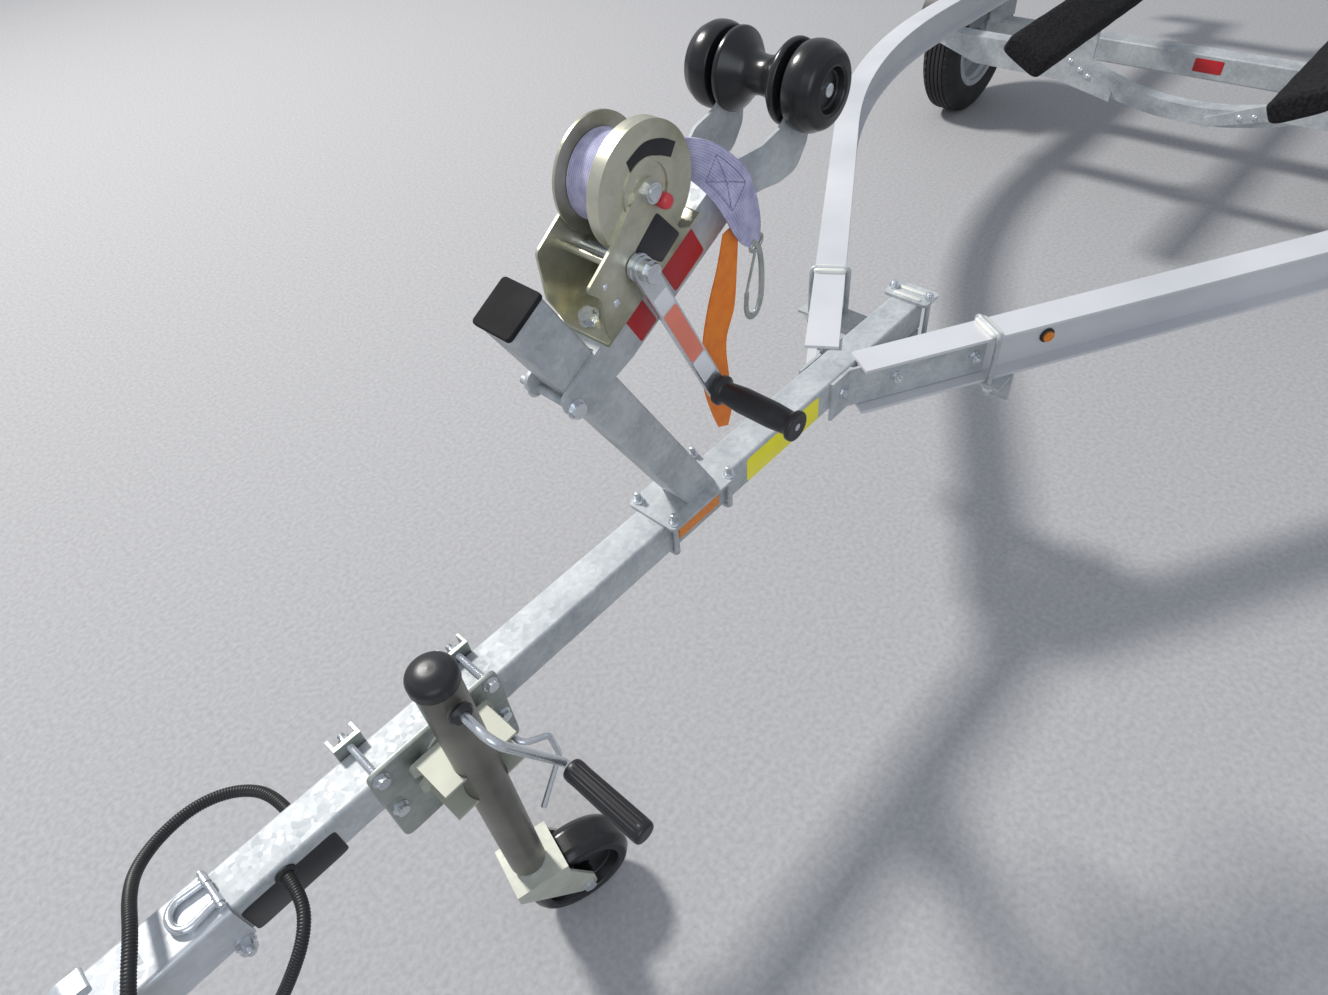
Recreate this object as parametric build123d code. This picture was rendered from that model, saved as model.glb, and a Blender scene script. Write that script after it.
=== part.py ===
"""Boat trailer, parked on its swing-up jockey wheel.

Lengths are millimetres. +X points forward to the coupling, +Y to the trailer's left, +Z up.
The origin is on the ground below the middle of the trailer's length.
"""
from build123d import *
from math import acos, asin, atan2, cos, degrees, hypot, pi, radians, sin, tan
import os

# Overall places along the trailer, from the middle of its length
FRONT_X = 2492.5
REAR_X = -2492.5
BALL_X = 2445
COUPLING_REAR_X = 2187
SHACKLE_X = 2214
JACK_X = 1883
FOOT_X = 1367
BEAM_NOSE_X = 923.5
TONGUE_REAR_X = 682
FRONT_CROSS_X = 696
DROP_CROSS_X = -970
AXLE_X = -1358
HUB_X = -1412
BUNK_FRONT_X = -492
BUNK_REAR_X = -2392
REAR_CROSS_X = -2330

# Tongue and coupling
TONGUE_TOP = 540
TONGUE = 63.5
TONGUE_WALL = 5
TONGUE_CORNER = 6
BALL_BORE = 25
SOCKET_TOP = 508
HEAD_WALL = 4.5
HEAD_CORNER = 7

# Aluminium I-beams
BEAM_DEPTH = 101.6
BEAM_FLANGE = 63.5
BEAM_FLANGE_THICK = 6.4
BEAM_WEB = 5
BEAM_NOSE_Y = 40.9
BEAM_ANGLE = 31.3
BEAM_STRAIGHT = 1000
BEAM_RADIUS = 1745.25
WEB_PLATE_FORWARD = 32
WEB_PLATE_BACK = 261
MARKER_ALONG = 398

# Crossmembers
ANGLE_LEG = 64
ANGLE_WALL = 6
FRONT_CROSS_HALF = 235
DROP_WIDTH = 50
DROP_WALL = 6
SAG_RADIUS = 817
SAG_LOW = 352
SAG_DEPTH = 50
SAG_HALF = 386
REAR_CROSS_DEPTH = 76

# Running gear
TYRE_RADIUS = 264
TYRE_WIDTH = 132
WHEEL_GAP = 45.8
AXLE_SIZE = 76.2
AXLE_Z = 332

# Winch post and arm
POST = 60
POST_WALL = 3
POST_LEAN = 28
POST_LENGTH = 533
POST_BACK = 14
FOOT_LENGTH = 155
FOOT_WIDTH = 100
FOOT_THICK = 6
ARM_UP = 415
ARM_DEPTH = 63
ARM_WALL = 5
ARM_CLEAR = 0.5
ROLLER_S = 446
ROLLER_T = -9
ROLLER_SHAFT = 8
PRONG_IN = 51

# Winch
DRUM_S = 196
DRUM_T = 94
CRANK_S = 131
CRANK_T = 43
FLANGE_RADIUS = 68.5
STRAP_RADIUS = 53
NEAR_PLATE_Y = 44
FAR_PLATE_Y = -44
PLATE = 4
CUP_RADIUS = 74.5
CUP_WALL = 2
CUP_FRONT = 26
GEAR_TEETH = 45
PINION_TEETH = 12
GEAR_WIDTH = 8
GEAR_Y = 28
CRANK_LENGTH = 233
CRANK_ANGLE = 21.7
CRANK_IN = 58
CRANK_OUT = 84
WINCH_GRIP_RADIUS = 18
WINCH_GRIP_LENGTH = 129

# Jack
JACK_Y = 101
JACK_TUBE = 28.5
JACK_WALL = 3
JACK_TOP = 733
JACK_BOTTOM = 207
PIVOT_Z = 508
PIVOT_DISC = 48
MOUNT_FORWARD = 9
MOUNT_HALF = 104
MOUNT_LOW = 394
MOUNT_HIGH = 564
STUD_X = 89
LEG_RADIUS = 25.2
FORK_TOP = 193
FORK_LENGTH = 88
FORK_WIDTH = 86
FORK_WALL = 5
CASTOR = 15
JOCKEY_TRAIL = 67
JOCKEY_RADIUS = 89
JOCKEY_WIDTH = 62
JACK_CRANK_Z = 690
JACK_CRANK_OUT = 94
JACK_CRANK_LENGTH = 167.6
JACK_CRANK_ANGLE = 25
JACK_GRIP_RADIUS = 16
JACK_GRIP_LENGTH = 124

# Fits
RUN = 0.1
GAP = 0.3
BOLT = 5

os.makedirs("parts", exist_ok=True)


def save(name, *solids):
    """Write one sub-part's solids to its own STEP file."""
    bodies = [s for item in solids for s in item.solids()]
    export_step(bodies[0] if len(bodies) == 1 else Compound(children=bodies), f"parts/{name}.step")


def block(x, y, z):
    """Box from three (low, high) ranges."""
    size = [r[1] - r[0] for r in (x, y, z)]
    middle = [(r[0] + r[1]) / 2 for r in (x, y, z)]
    return Pos(*middle) * Box(*size)


def bar(start, end, radius):
    """Round bar between two points."""
    line = Line(start, end)
    return extrude(Plane(origin=start, z_dir=line % 0) * Circle(radius), amount=line.length)


def ring(start, end, outer, inner):
    """Round tube between two points."""
    return bar(start, end, outer) - bar(start, end, inner)


def outline(corners, place):
    """Closed face from corners (u, v) or (u, v, radius); place gives the point in space of each (u, v)."""
    ends = []
    for i, corner in enumerate(corners):
        here = Vector(corner[0], corner[1])
        if len(corner) == 2:
            ends.append((here, None, here))
            continue
        before = (Vector(*corners[i - 1][:2]) - here).normalized()
        after = (Vector(*corners[(i + 1) % len(corners)][:2]) - here).normalized()
        half = acos(before.dot(after)) / 2
        cut = corner[2] / tan(half)
        middle = here + (before + after).normalized() * (corner[2] / sin(half) - corner[2])
        ends.append((here + before * cut, middle, here + after * cut))
    edges = []
    for i, (start, middle, end) in enumerate(ends):
        if middle is not None:
            edges.append(ThreePointArc(*[place(p.X, p.Y) for p in (start, middle, end)]))
        following = ends[(i + 1) % len(ends)][0]
        if (following - end).length > 0.01:
            edges.append(Line(place(end.X, end.Y), place(following.X, following.Y)))
    return make_face(edges)


def side_plate(corners, y, thick):
    """Flat plate with an outline of (x, z, radius) corners, from y towards +Y."""
    face = outline(corners, lambda x, z: Vector(x, y, z))
    return extrude(face, amount=thick, dir=(0, 1, 0))


def turned(corners, axis_point):
    """Solid turned about a level crosswise axis from (distance from the axis, y, radius) corners."""
    face = outline(corners, lambda r, y: axis_point + Vector(0, y, r))
    return revolve(face, axis=Axis(axis_point, (0, 1, 0)))


def bent_rod(points, radii, radius):
    """Round rod along straight runs joined by arcs."""
    path = FilletPolyline(*points, radius=radii)
    return sweep(Plane(origin=path @ 0, z_dir=path % 0) * Circle(radius), path)


def both(shape):
    """A shape and its mirror image on the trailer's other side."""
    return [shape, mirror(shape, about=Plane.XZ)]


# Heights that follow from the sizes above
TONGUE_BOTTOM = TONGUE_TOP - TONGUE
BEAM_TOP = TONGUE_TOP + BEAM_FLANGE_THICK + 0.2
BEAM_BOTTOM = BEAM_TOP - BEAM_DEPTH
HALF = TONGUE / 2


# Tongue: square tube with rounded corners, open at the rear
TONGUE_END_X = BALL_X - 120
tongue = block((TONGUE_REAR_X, TONGUE_END_X), (-HALF, HALF), (TONGUE_BOTTOM, TONGUE_TOP))
tongue = fillet(tongue.edges().filter_by(Axis.X), TONGUE_CORNER)
tongue -= block(
    (TONGUE_REAR_X, TONGUE_END_X),
    (-HALF + TONGUE_WALL, HALF - TONGUE_WALL),
    (TONGUE_BOTTOM + TONGUE_WALL, TONGUE_TOP - TONGUE_WALL),
)
save("tongue", tongue)


# Coupling head: pressed cover over the tongue's end, widening to the ball socket below its nose
HEAD_TOP = TONGUE_TOP + HEAD_WALL + GAP
HEAD_HALF = HALF + HEAD_WALL + GAP
SLEEVE_END_X = BALL_X - 90
sleeve = Pos((COUPLING_REAR_X + SLEEVE_END_X) / 2, 0) * Rectangle(SLEEVE_END_X - COUPLING_REAR_X, 2 * HEAD_HALF)
shoulder = Pos(SLEEVE_END_X - 5, 0) * Rectangle(10, 2 * HEAD_HALF)
nose = Pos(BALL_X, 0) * Circle(FRONT_X - BALL_X)
plan = sleeve + make_hull(shoulder.edges() + nose.edges())
head = extrude(Plane.XY.offset(TONGUE_BOTTOM) * plan, HEAD_TOP - TONGUE_BOTTOM)
rim_edges = head.edges().group_by(Axis.Z)[-1].sort_by(Axis.X)[1:]
head = fillet(rim_edges, HEAD_CORNER)
head -= block((COUPLING_REAR_X, BALL_X - 100), (-HALF - GAP, HALF + GAP), (TONGUE_BOTTOM, TONGUE_TOP + GAP))
head -= bar((BALL_X, 0, TONGUE_BOTTOM), (BALL_X, 0, SOCKET_TOP), BALL_BORE + GAP)
head -= Pos(BALL_X, 0, SOCKET_TOP) * Sphere(BALL_BORE + GAP)
HOLE_X = COUPLING_REAR_X + 92
half_moon = bar((HOLE_X, 0, TONGUE_TOP), (HOLE_X, 0, HEAD_TOP + 1), 11)
head -= half_moon & block((HOLE_X, HOLE_X + 20), (-20, 20), (TONGUE_TOP, HEAD_TOP + 1))
save("coupling_head", head)

# Coupling latch: lever on the head with its raised finger grip, shut
latch = side_plate(
    [(BALL_X - 86, HEAD_TOP), (BALL_X - 8, HEAD_TOP), (BALL_X - 4, HEAD_TOP + 16, 6),
     (BALL_X - 60, HEAD_TOP + 27, 60), (BALL_X - 100, HEAD_TOP + 42, 20), (BALL_X - 128, HEAD_TOP + 40, 4),
     (BALL_X - 124, HEAD_TOP + 28, 4), (BALL_X - 92, HEAD_TOP + 20, 12)],
    -13, 26,
)
save("coupling_latch", latch)

# Shackle: bow shackle with its pin, lying on the coupling's rear end
SHACKLE_Z = HEAD_TOP + 6 + GAP
bow = bent_rod(
    [(SHACKLE_X - 24, -16, SHACKLE_Z), (SHACKLE_X + 26, -22, SHACKLE_Z),
     (SHACKLE_X + 26, 22, SHACKLE_Z), (SHACKLE_X - 24, 16, SHACKLE_Z)],
    [18, 18], 5,
)
ears = [bar((SHACKLE_X - 24, s * 12, SHACKLE_Z), (SHACKLE_X - 24, s * 22, SHACKLE_Z), 6) for s in (-1, 1)]
shackle = bow + ears[0] + ears[1] + bar((SHACKLE_X - 24, -30, SHACKLE_Z), (SHACKLE_X - 24, 28, SHACKLE_Z), 4)
save("shackle", shackle)


# Main beams: I-section that splays from the tongue, then bends parallel to the centre line
def beam_section():
    flange = Rectangle(BEAM_FLANGE, BEAM_FLANGE_THICK)
    rise = (BEAM_DEPTH - BEAM_FLANGE_THICK) / 2
    return Rectangle(BEAM_WEB, BEAM_DEPTH) + Pos(0, rise) * flange + Pos(0, -rise) * flange


turn = radians(BEAM_ANGLE)
nose_point = Vector(BEAM_NOSE_X, BEAM_NOSE_Y, BEAM_TOP - BEAM_DEPTH / 2)
bend_start = nose_point + Vector(-cos(turn), sin(turn), 0) * BEAM_STRAIGHT
bend_centre = bend_start - Vector(sin(turn), cos(turn), 0) * BEAM_RADIUS
bend_end = bend_centre + Vector(0, BEAM_RADIUS, 0)
BEAM_Y = bend_end.Y
TRACK_HALF = BEAM_Y + BEAM_FLANGE / 2 + WHEEL_GAP + TYRE_WIDTH / 2


def beam():
    """Left beam: a straight nose, a bend about a vertical axis and a straight rail."""
    section = Plane(origin=nose_point, x_dir=(sin(turn), cos(turn), 0), z_dir=(-cos(turn), sin(turn), 0))
    straight = extrude(section * beam_section(), amount=BEAM_STRAIGHT)
    bend_face = Plane(origin=bend_start, x_dir=(sin(turn), cos(turn), 0), z_dir=(-cos(turn), sin(turn), 0))
    bend = revolve(bend_face * beam_section(), axis=Axis(bend_centre, (0, 0, 1)), revolution_arc=BEAM_ANGLE)
    rail_face = Plane(origin=bend_end, x_dir=(0, 1, 0), z_dir=(-1, 0, 0))
    rail = extrude(rail_face * beam_section(), amount=bend_end.X - REAR_X)
    whole = straight + bend + rail
    slot = block(
        (TONGUE_REAR_X - 90, BEAM_NOSE_X + 180), (-HALF - GAP, HALF + GAP),
        (TONGUE_BOTTOM - GAP, BEAM_TOP - BEAM_FLANGE_THICK))
    return whole - slot


left_beam, right_beam = both(beam())
save("beam_left", left_beam)
save("beam_right", right_beam)


# Front crossmember: angle below the beams, with a spacer block up to the tongue
angle_top = BEAM_BOTTOM - 0.2
angle_rear = FRONT_CROSS_X - ANGLE_LEG / 2
front_cross = block(
    (angle_rear, angle_rear + ANGLE_LEG), (-FRONT_CROSS_HALF, FRONT_CROSS_HALF), (angle_top - ANGLE_WALL, angle_top))
front_cross += block(
    (angle_rear, angle_rear + ANGLE_WALL), (-FRONT_CROSS_HALF, FRONT_CROSS_HALF), (angle_top - ANGLE_LEG, angle_top))
front_cross += block((FRONT_CROSS_X - 12, FRONT_CROSS_X + 28), (-HALF, HALF), (angle_top, TONGUE_BOTTOM - 0.2))


# Frame plates: clamp plate over the tongue's rear end and bent plates from tongue to beam webs
CLAMP_HALF = 27
CLAMP_X = FRONT_CROSS_X - 22
clamp = block((CLAMP_X - CLAMP_HALF, CLAMP_X + CLAMP_HALF), (-48, 48), (TONGUE_TOP + 0.2, TONGUE_TOP + 6.2))
clamp = fillet(clamp.edges().filter_by(Axis.Z), 8)
clamp_bolts = [(CLAMP_X, y) for y in (-40, 40)]
for x, y in clamp_bolts:
    hole = bar((x, y, angle_top - ANGLE_LEG), (x, y, TONGUE_TOP + 20), BOLT + RUN)
    clamp -= hole
    front_cross -= hole
plate_z = (BEAM_BOTTOM + BEAM_FLANGE_THICK + 1.5, BEAM_TOP - BEAM_FLANGE_THICK - 1.5)
PLATE_THICK = 6
tongue_leg = block((BEAM_NOSE_X + 12, BEAM_NOSE_X + 76), (HALF + 0.2, HALF + 0.2 + PLATE_THICK), plate_z)
web_face_y = BEAM_NOSE_Y + BEAM_WEB / 2 / cos(turn)
web_plane = Plane(
    origin=(BEAM_NOSE_X, web_face_y + GAP, (plate_z[0] + plate_z[1]) / 2),
    x_dir=(-cos(turn), sin(turn), 0),
    z_dir=(sin(turn), cos(turn), 0),
)
web_leg = extrude(
    web_plane * Pos((WEB_PLATE_BACK - WEB_PLATE_FORWARD) / 2, 0)
    * Rectangle(WEB_PLATE_BACK + WEB_PLATE_FORWARD, plate_z[1] - plate_z[0]),
    amount=PLATE_THICK)
web_leg -= block(
    (TONGUE_REAR_X, TONGUE_END_X), (-HALF - 0.2, HALF + 0.2), (plate_z[0] - 5, plate_z[1] + 5))
nose_plates = both(tongue_leg + web_leg)
save("frame_plates", clamp, *nose_plates)


# U-bolts: beams to crossmember, winch foot to tongue; straight bolts: tongue clamp to crossmember
BEAM_HOOP = 5.5
FOOT_HOOP = 4.75


def u_bolt(centre, across, half_gap, top, bottom, radius):
    """Bolt bent over the top: two legs down from a level back, across is the level direction."""
    offset = Vector(*across) * half_gap
    middle = Vector(*centre)
    points = [
        middle - offset + Vector(0, 0, bottom),
        middle - offset + Vector(0, 0, top),
        middle + offset + Vector(0, 0, top),
        middle + offset + Vector(0, 0, bottom),
    ]
    return bent_rod(points, [8, 8], radius)


ubolt_x = FRONT_CROSS_X + 2
ubolt_y = BEAM_NOSE_Y + (BEAM_NOSE_X - ubolt_x) * sin(turn) / cos(turn)
bolts = []
beam_half = BEAM_FLANGE / 2 + BEAM_HOOP + 0.8
leg_low = angle_top - ANGLE_WALL - 22
for side in (-1, 1):
    across = (side * sin(turn), cos(turn), 0)
    crown = BEAM_TOP + BEAM_HOOP + 0.3
    bolts.append(u_bolt((ubolt_x, side * ubolt_y, 0), across, beam_half, crown, leg_low, BEAM_HOOP))
    for end in (-1, 1):
        leg = Vector(ubolt_x, side * ubolt_y, 0) + Vector(*across) * end * beam_half
        front_cross -= bar((leg.X, leg.Y, leg_low), (leg.X, leg.Y, BEAM_TOP), BEAM_HOOP + RUN)
save("front_cross", front_cross)
FOOT_BOLT_Y = 39
foot_bolts = [FOOT_X + 63, FOOT_X - 70]
for x in foot_bolts:
    hoop = u_bolt(
        (x, 0, 0), (0, 1, 0), FOOT_BOLT_Y, -TONGUE_BOTTOM + FOOT_HOOP + GAP, -TONGUE_TOP - FOOT_THICK - 18,
        FOOT_HOOP)
    bolts.append(mirror(hoop, about=Plane.XY))
for x, y in clamp_bolts:
    bolts.append(bar((x, y, angle_top - ANGLE_WALL - 12), (x, y, TONGUE_TOP + 14), BOLT))
save("bolts", *bolts)


# Winch post: square tube leaning forward, welded on a foot plate over the tongue
lean = radians(POST_LEAN)
FOOT_TOP = TONGUE_TOP + FOOT_THICK
up = Vector(sin(lean), 0, cos(lean))
back = Vector(-cos(lean), 0, sin(lean))
post_base = Vector(FOOT_X - POST_BACK, 0, FOOT_TOP)
arm_origin = post_base + up * ARM_UP


def at(s, t, y=0):
    """Point in the arm's frame: s behind the post's axis, t above the arm's upper edge."""
    return arm_origin + back * s + up * t + Vector(0, y, 0)


def arm_plate(corners, y, thick):
    """Flat plate in the arm's frame with an outline of (s, t, radius) corners, from y towards +Y."""
    face = outline(corners, lambda s, t: at(s, t, y))
    return extrude(face, amount=thick, dir=(0, 1, 0))


foot = block(
    (FOOT_X - FOOT_LENGTH / 2, FOOT_X + FOOT_LENGTH / 2),
    (-FOOT_WIDTH / 2, FOOT_WIDTH / 2),
    (TONGUE_TOP, FOOT_TOP),
)
foot = fillet(foot.edges().filter_by(Axis.Z), 10)
for x in foot_bolts:
    for y in (-FOOT_BOLT_Y, FOOT_BOLT_Y):
        foot -= bar((x, y, TONGUE_TOP - 1), (x, y, FOOT_TOP + 1), FOOT_HOOP + RUN)
save("post_foot", foot)

post_plane = Plane(origin=post_base - up * 60, x_dir=(0, 1, 0), z_dir=up)
post = extrude(post_plane * RectangleRounded(POST, POST, 5), amount=POST_LENGTH + 60)
post -= extrude(post_plane * Rectangle(POST - 2 * POST_WALL, POST - 2 * POST_WALL), amount=POST_LENGTH + 60)
post -= block((FOOT_X - 200, FOOT_X + 200), (-60, 60), (FOOT_TOP - 120, FOOT_TOP))
save("winch_post", post)

CAP_SIDE = 6
cap_plane = Plane(origin=post_base + up * POST_LENGTH, x_dir=(0, 1, 0), z_dir=up)
cap = extrude(cap_plane * RectangleRounded(POST + 4, POST + 4, 6), amount=CAP_SIDE)
cap = fillet(cap.edges().sort_by(Axis(cap_plane.origin, up))[-8:], 2)
cap += extrude(cap_plane * Rectangle(POST - 2 * POST_WALL - 1, POST - 2 * POST_WALL - 1), amount=-25)
save("post_cap", cap)


# Winch arm: channel with its web on top, ears clamped round the post, prongs to the bow roller
ARM_IN = POST / 2 + ARM_CLEAR
EAR_S = -53
FLARE_S = (305, 355)
arm_side = [
    (EAR_S + 12, 1, 12), (FLARE_S[0] + 12, -3, 40), (404, -27, 30), (430, -2, 14), (ROLLER_S, 13, 14),
    (ROLLER_S + 19, -2, 14), (ROLLER_S + 14, -32, 30), (425, -82, 26), (390, -98, 30), (332, -72, 60),
    (FLARE_S[0] - 20, -ARM_DEPTH - 4, 60), (60, -ARM_DEPTH, 60), (EAR_S + 34, -ARM_DEPTH + 14, 30),
    (EAR_S, -ARM_DEPTH + 34, 18),
]
side_solid = arm_plate(arm_side, -70, 140)


def bent_strip(side):
    """Plan of one side plate: along the arm, then out to the prong."""
    bend = 24
    inner = [(EAR_S - 5, ARM_IN), (FLARE_S[0], ARM_IN, bend), (FLARE_S[1], PRONG_IN, bend + ARM_WALL),
             (480, PRONG_IN)]
    outer = [(480, PRONG_IN + ARM_WALL), (FLARE_S[1], PRONG_IN + ARM_WALL, bend),
             (FLARE_S[0], ARM_IN + ARM_WALL, bend + ARM_WALL), (EAR_S - 5, ARM_IN + ARM_WALL)]
    return extrude(outline(inner + outer, lambda s, y: at(s, -130, side * y)), amount=170, dir=up)


arm = (side_solid & bent_strip(1)) + (side_solid & bent_strip(-1))
web_s = (POST / 2 + 1, FLARE_S[0] - 5)
web = arm_plate([(web_s[0], 0), (web_s[1], -3), (web_s[1], -8), (web_s[0], -5)], -ARM_IN - 1, 2 * ARM_IN + 2)
arm += web
arm -= bar(at(ROLLER_S, ROLLER_T, -80), at(ROLLER_S, ROLLER_T, 80), ROLLER_SHAFT + RUN)
EAR_BOLT_S = -POST / 2 - 7
arm += bar(at(EAR_BOLT_S, -ARM_DEPTH / 2 + 4, -62), at(EAR_BOLT_S, -ARM_DEPTH / 2 + 4, 44), 6)
save("winch_arm", arm)


# Bow roller: fixed shaft, hourglass roller between the prongs and a domed bell outside each prong
SIDE_GAP = 3
BELL_RADIUS = 53
shaft = bar(at(ROLLER_S, ROLLER_T, -96), at(ROLLER_S, ROLLER_T, 96), ROLLER_SHAFT)
save("roller_shaft", shaft)

roller_axis = at(ROLLER_S, ROLLER_T)
bore = ROLLER_SHAFT + RUN
waist_end = PRONG_IN - SIDE_GAP
hourglass = turned(
    [(bore, -waist_end), (BELL_RADIUS - 3, -waist_end, 3), (BELL_RADIUS - 2, -waist_end + 8, 6), (28, -18, 20),
     (20, 0, 40), (28, 18, 20), (BELL_RADIUS - 2, waist_end - 8, 6), (BELL_RADIUS - 3, waist_end, 3),
     (bore, waist_end)], roller_axis)
bell_in = PRONG_IN + ARM_WALL + SIDE_GAP
bell = turned(
    [(bore, bell_in), (BELL_RADIUS - 4, bell_in, 3), (BELL_RADIUS, bell_in + 10, 30),
     (BELL_RADIUS - 1, bell_in + 24, 18), (44, bell_in + 40, 10), (27, bell_in + 44, 4),
     (23, bell_in + 32, 3), (bore, bell_in + 32)], roller_axis)
save("bow_roller", hourglass, *both(bell))


# Winch frame: base, far side plate, strap plate outside the round gear cup, tie rod and drum axle
HUB_RADIUS = 9
BASE_T = (0.2, 4.2)
strap_plate = arm_plate(
    [(50, BASE_T[0]), (52, 18, 6), (74, 58, 12), (64, 84, 6), (124, 92, 30), (DRUM_S - 14, DRUM_T + 15, 12),
     (DRUM_S + 15, DRUM_T + 15, 14), (DRUM_S + 15, DRUM_T - 16, 14), (DRUM_S + 8, 52, 12), (204, 16, 6),
     (220, BASE_T[0])], NEAR_PLATE_Y, PLATE)
far_plate = arm_plate(
    [(50, BASE_T[0]), (51, 37, 10), (79, 94, 10), (130, 99, 30), (DRUM_S - 14, DRUM_T + 15, 12),
     (DRUM_S + 15, DRUM_T + 15, 14), (DRUM_S + 15, DRUM_T - 16, 14), (222, 48, 16), (236, BASE_T[0])],
    FAR_PLATE_Y, PLATE)
base = arm_plate(
    [(42, BASE_T[0]), (240, BASE_T[0]), (240, BASE_T[1], 3), (42, BASE_T[1], 3)],
    FAR_PLATE_Y, NEAR_PLATE_Y + PLATE - FAR_PLATE_Y)
cup_back = at(DRUM_S, DRUM_T, NEAR_PLATE_Y)
cup = ring(at(DRUM_S, DRUM_T, CUP_FRONT), cup_back, CUP_RADIUS, CUP_RADIUS - CUP_WALL)
cup += ring(at(DRUM_S, DRUM_T, NEAR_PLATE_Y - CUP_WALL), cup_back, CUP_RADIUS, HUB_RADIUS)
cup += ring(at(DRUM_S, DRUM_T, NEAR_PLATE_Y - 1), at(DRUM_S, DRUM_T, NEAR_PLATE_Y + 2), 37, 32)
pinion_room = bar(at(CRANK_S, CRANK_T, CUP_FRONT - 1), at(CRANK_S, CRANK_T, NEAR_PLATE_Y - CUP_WALL), 26)
winch_frame = strap_plate + far_plate + base + (cup - pinion_room)
winch_frame -= bar(at(CRANK_S, CRANK_T, FAR_PLATE_Y - 5), at(CRANK_S, CRANK_T, NEAR_PLATE_Y + 10), HUB_RADIUS + RUN)
winch_frame += bar(at(DRUM_S, DRUM_T, FAR_PLATE_Y - 12), at(DRUM_S, DRUM_T, NEAR_PLATE_Y + 13), HUB_RADIUS)
winch_frame += bar(at(203, 72, NEAR_PLATE_Y), at(203, 72, NEAR_PLATE_Y + 14), 8)
winch_frame += bar(at(112, 66, FAR_PLATE_Y), at(112, 66, NEAR_PLATE_Y), 5)
winch_frame += bar(at(63, BASE_T[1] - 1, 0), at(63, 12, 0), 9)
save("winch_frame", winch_frame)


# Winch gears: involute wheel on the drum and pinion on the crank's axle, with stub teeth
gear_centres = hypot(DRUM_S - CRANK_S, DRUM_T - CRANK_T)
MODULE = 2 * gear_centres / (GEAR_TEETH + PINION_TEETH)
PRESSURE = radians(25)
BACKLASH = 0.25


def gear_face(teeth, phase, plane):
    """Gear outline: each flank is an involute drawn through a few points."""
    pitch_r = MODULE * teeth / 2
    base_r = pitch_r * cos(PRESSURE)
    tip_r = pitch_r + 0.8 * MODULE
    root_r = pitch_r - 1.05 * MODULE
    start_r = max(base_r, root_r)
    inv_pitch = sin(PRESSURE) / cos(PRESSURE) - PRESSURE
    half_tooth = pi / (2 * teeth) - BACKLASH / 2 / pitch_r
    flank = []
    for step in range(5):
        r = start_r + (tip_r - start_r) * step / 4
        angle = (r * r / base_r / base_r - 1) ** 0.5
        flank.append((r, half_tooth + inv_pitch - (angle - atan2(angle, 1))))
    points = []
    for tooth in range(teeth):
        middle = phase + 2 * pi * tooth / teeth
        foot_angle = flank[0][1]
        for r, a in [(root_r, foot_angle)] + flank:
            points.append((r * cos(middle - a), r * sin(middle - a)))
        for r, a in list(reversed(flank)) + [(root_r, foot_angle)]:
            points.append((r * cos(middle + a), r * sin(middle + a)))
    clean = [p for i, p in enumerate(points) if hypot(p[0] - points[i - 1][0], p[1] - points[i - 1][1]) > 1e-4]
    return plane * make_face(Polyline(*clean, close=True))


to_pinion = atan2(CRANK_T - DRUM_T, CRANK_S - DRUM_S)
drum_plane = Plane(origin=at(DRUM_S, DRUM_T, GEAR_Y), x_dir=back, z_dir=(0, 1, 0))
pinion_plane = Plane(origin=at(CRANK_S, CRANK_T, GEAR_Y), x_dir=back, z_dir=(0, 1, 0))
wheel_gear = extrude(gear_face(GEAR_TEETH, to_pinion, drum_plane), amount=GEAR_WIDTH)
pinion = extrude(gear_face(PINION_TEETH, to_pinion + pi + pi / PINION_TEETH, pinion_plane), amount=GEAR_WIDTH)

# Drum: core, two flanges and the gear wheel, with the strap wound between the flanges
DRUM_BORE = HUB_RADIUS + RUN
DRUM_CORE = 24
DRUM_LEFT = GEAR_Y - 5
DRUM_RIGHT = -31
LEFT_FLANGE = 3
drum = ring(at(DRUM_S, DRUM_T, DRUM_RIGHT - 4), at(DRUM_S, DRUM_T, GEAR_Y + GEAR_WIDTH), DRUM_CORE, DRUM_BORE)
drum += ring(at(DRUM_S, DRUM_T, DRUM_RIGHT - 4), at(DRUM_S, DRUM_T, DRUM_RIGHT), FLANGE_RADIUS, DRUM_BORE)
drum += ring(at(DRUM_S, DRUM_T, DRUM_LEFT - LEFT_FLANGE), at(DRUM_S, DRUM_T, DRUM_LEFT), FLANGE_RADIUS - 2, DRUM_BORE)
drum += wheel_gear - bar(at(DRUM_S, DRUM_T, 0), at(DRUM_S, DRUM_T, 60), DRUM_BORE)
save("winch_drum", drum)

WOUND_Y = (DRUM_RIGHT + 1, DRUM_LEFT - LEFT_FLANGE - 1)
wound = ring(at(DRUM_S, DRUM_T, WOUND_Y[0]), at(DRUM_S, DRUM_T, WOUND_Y[1]), STRAP_RADIUS, DRUM_CORE + RUN)
save("drum_webbing", wound)


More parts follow.
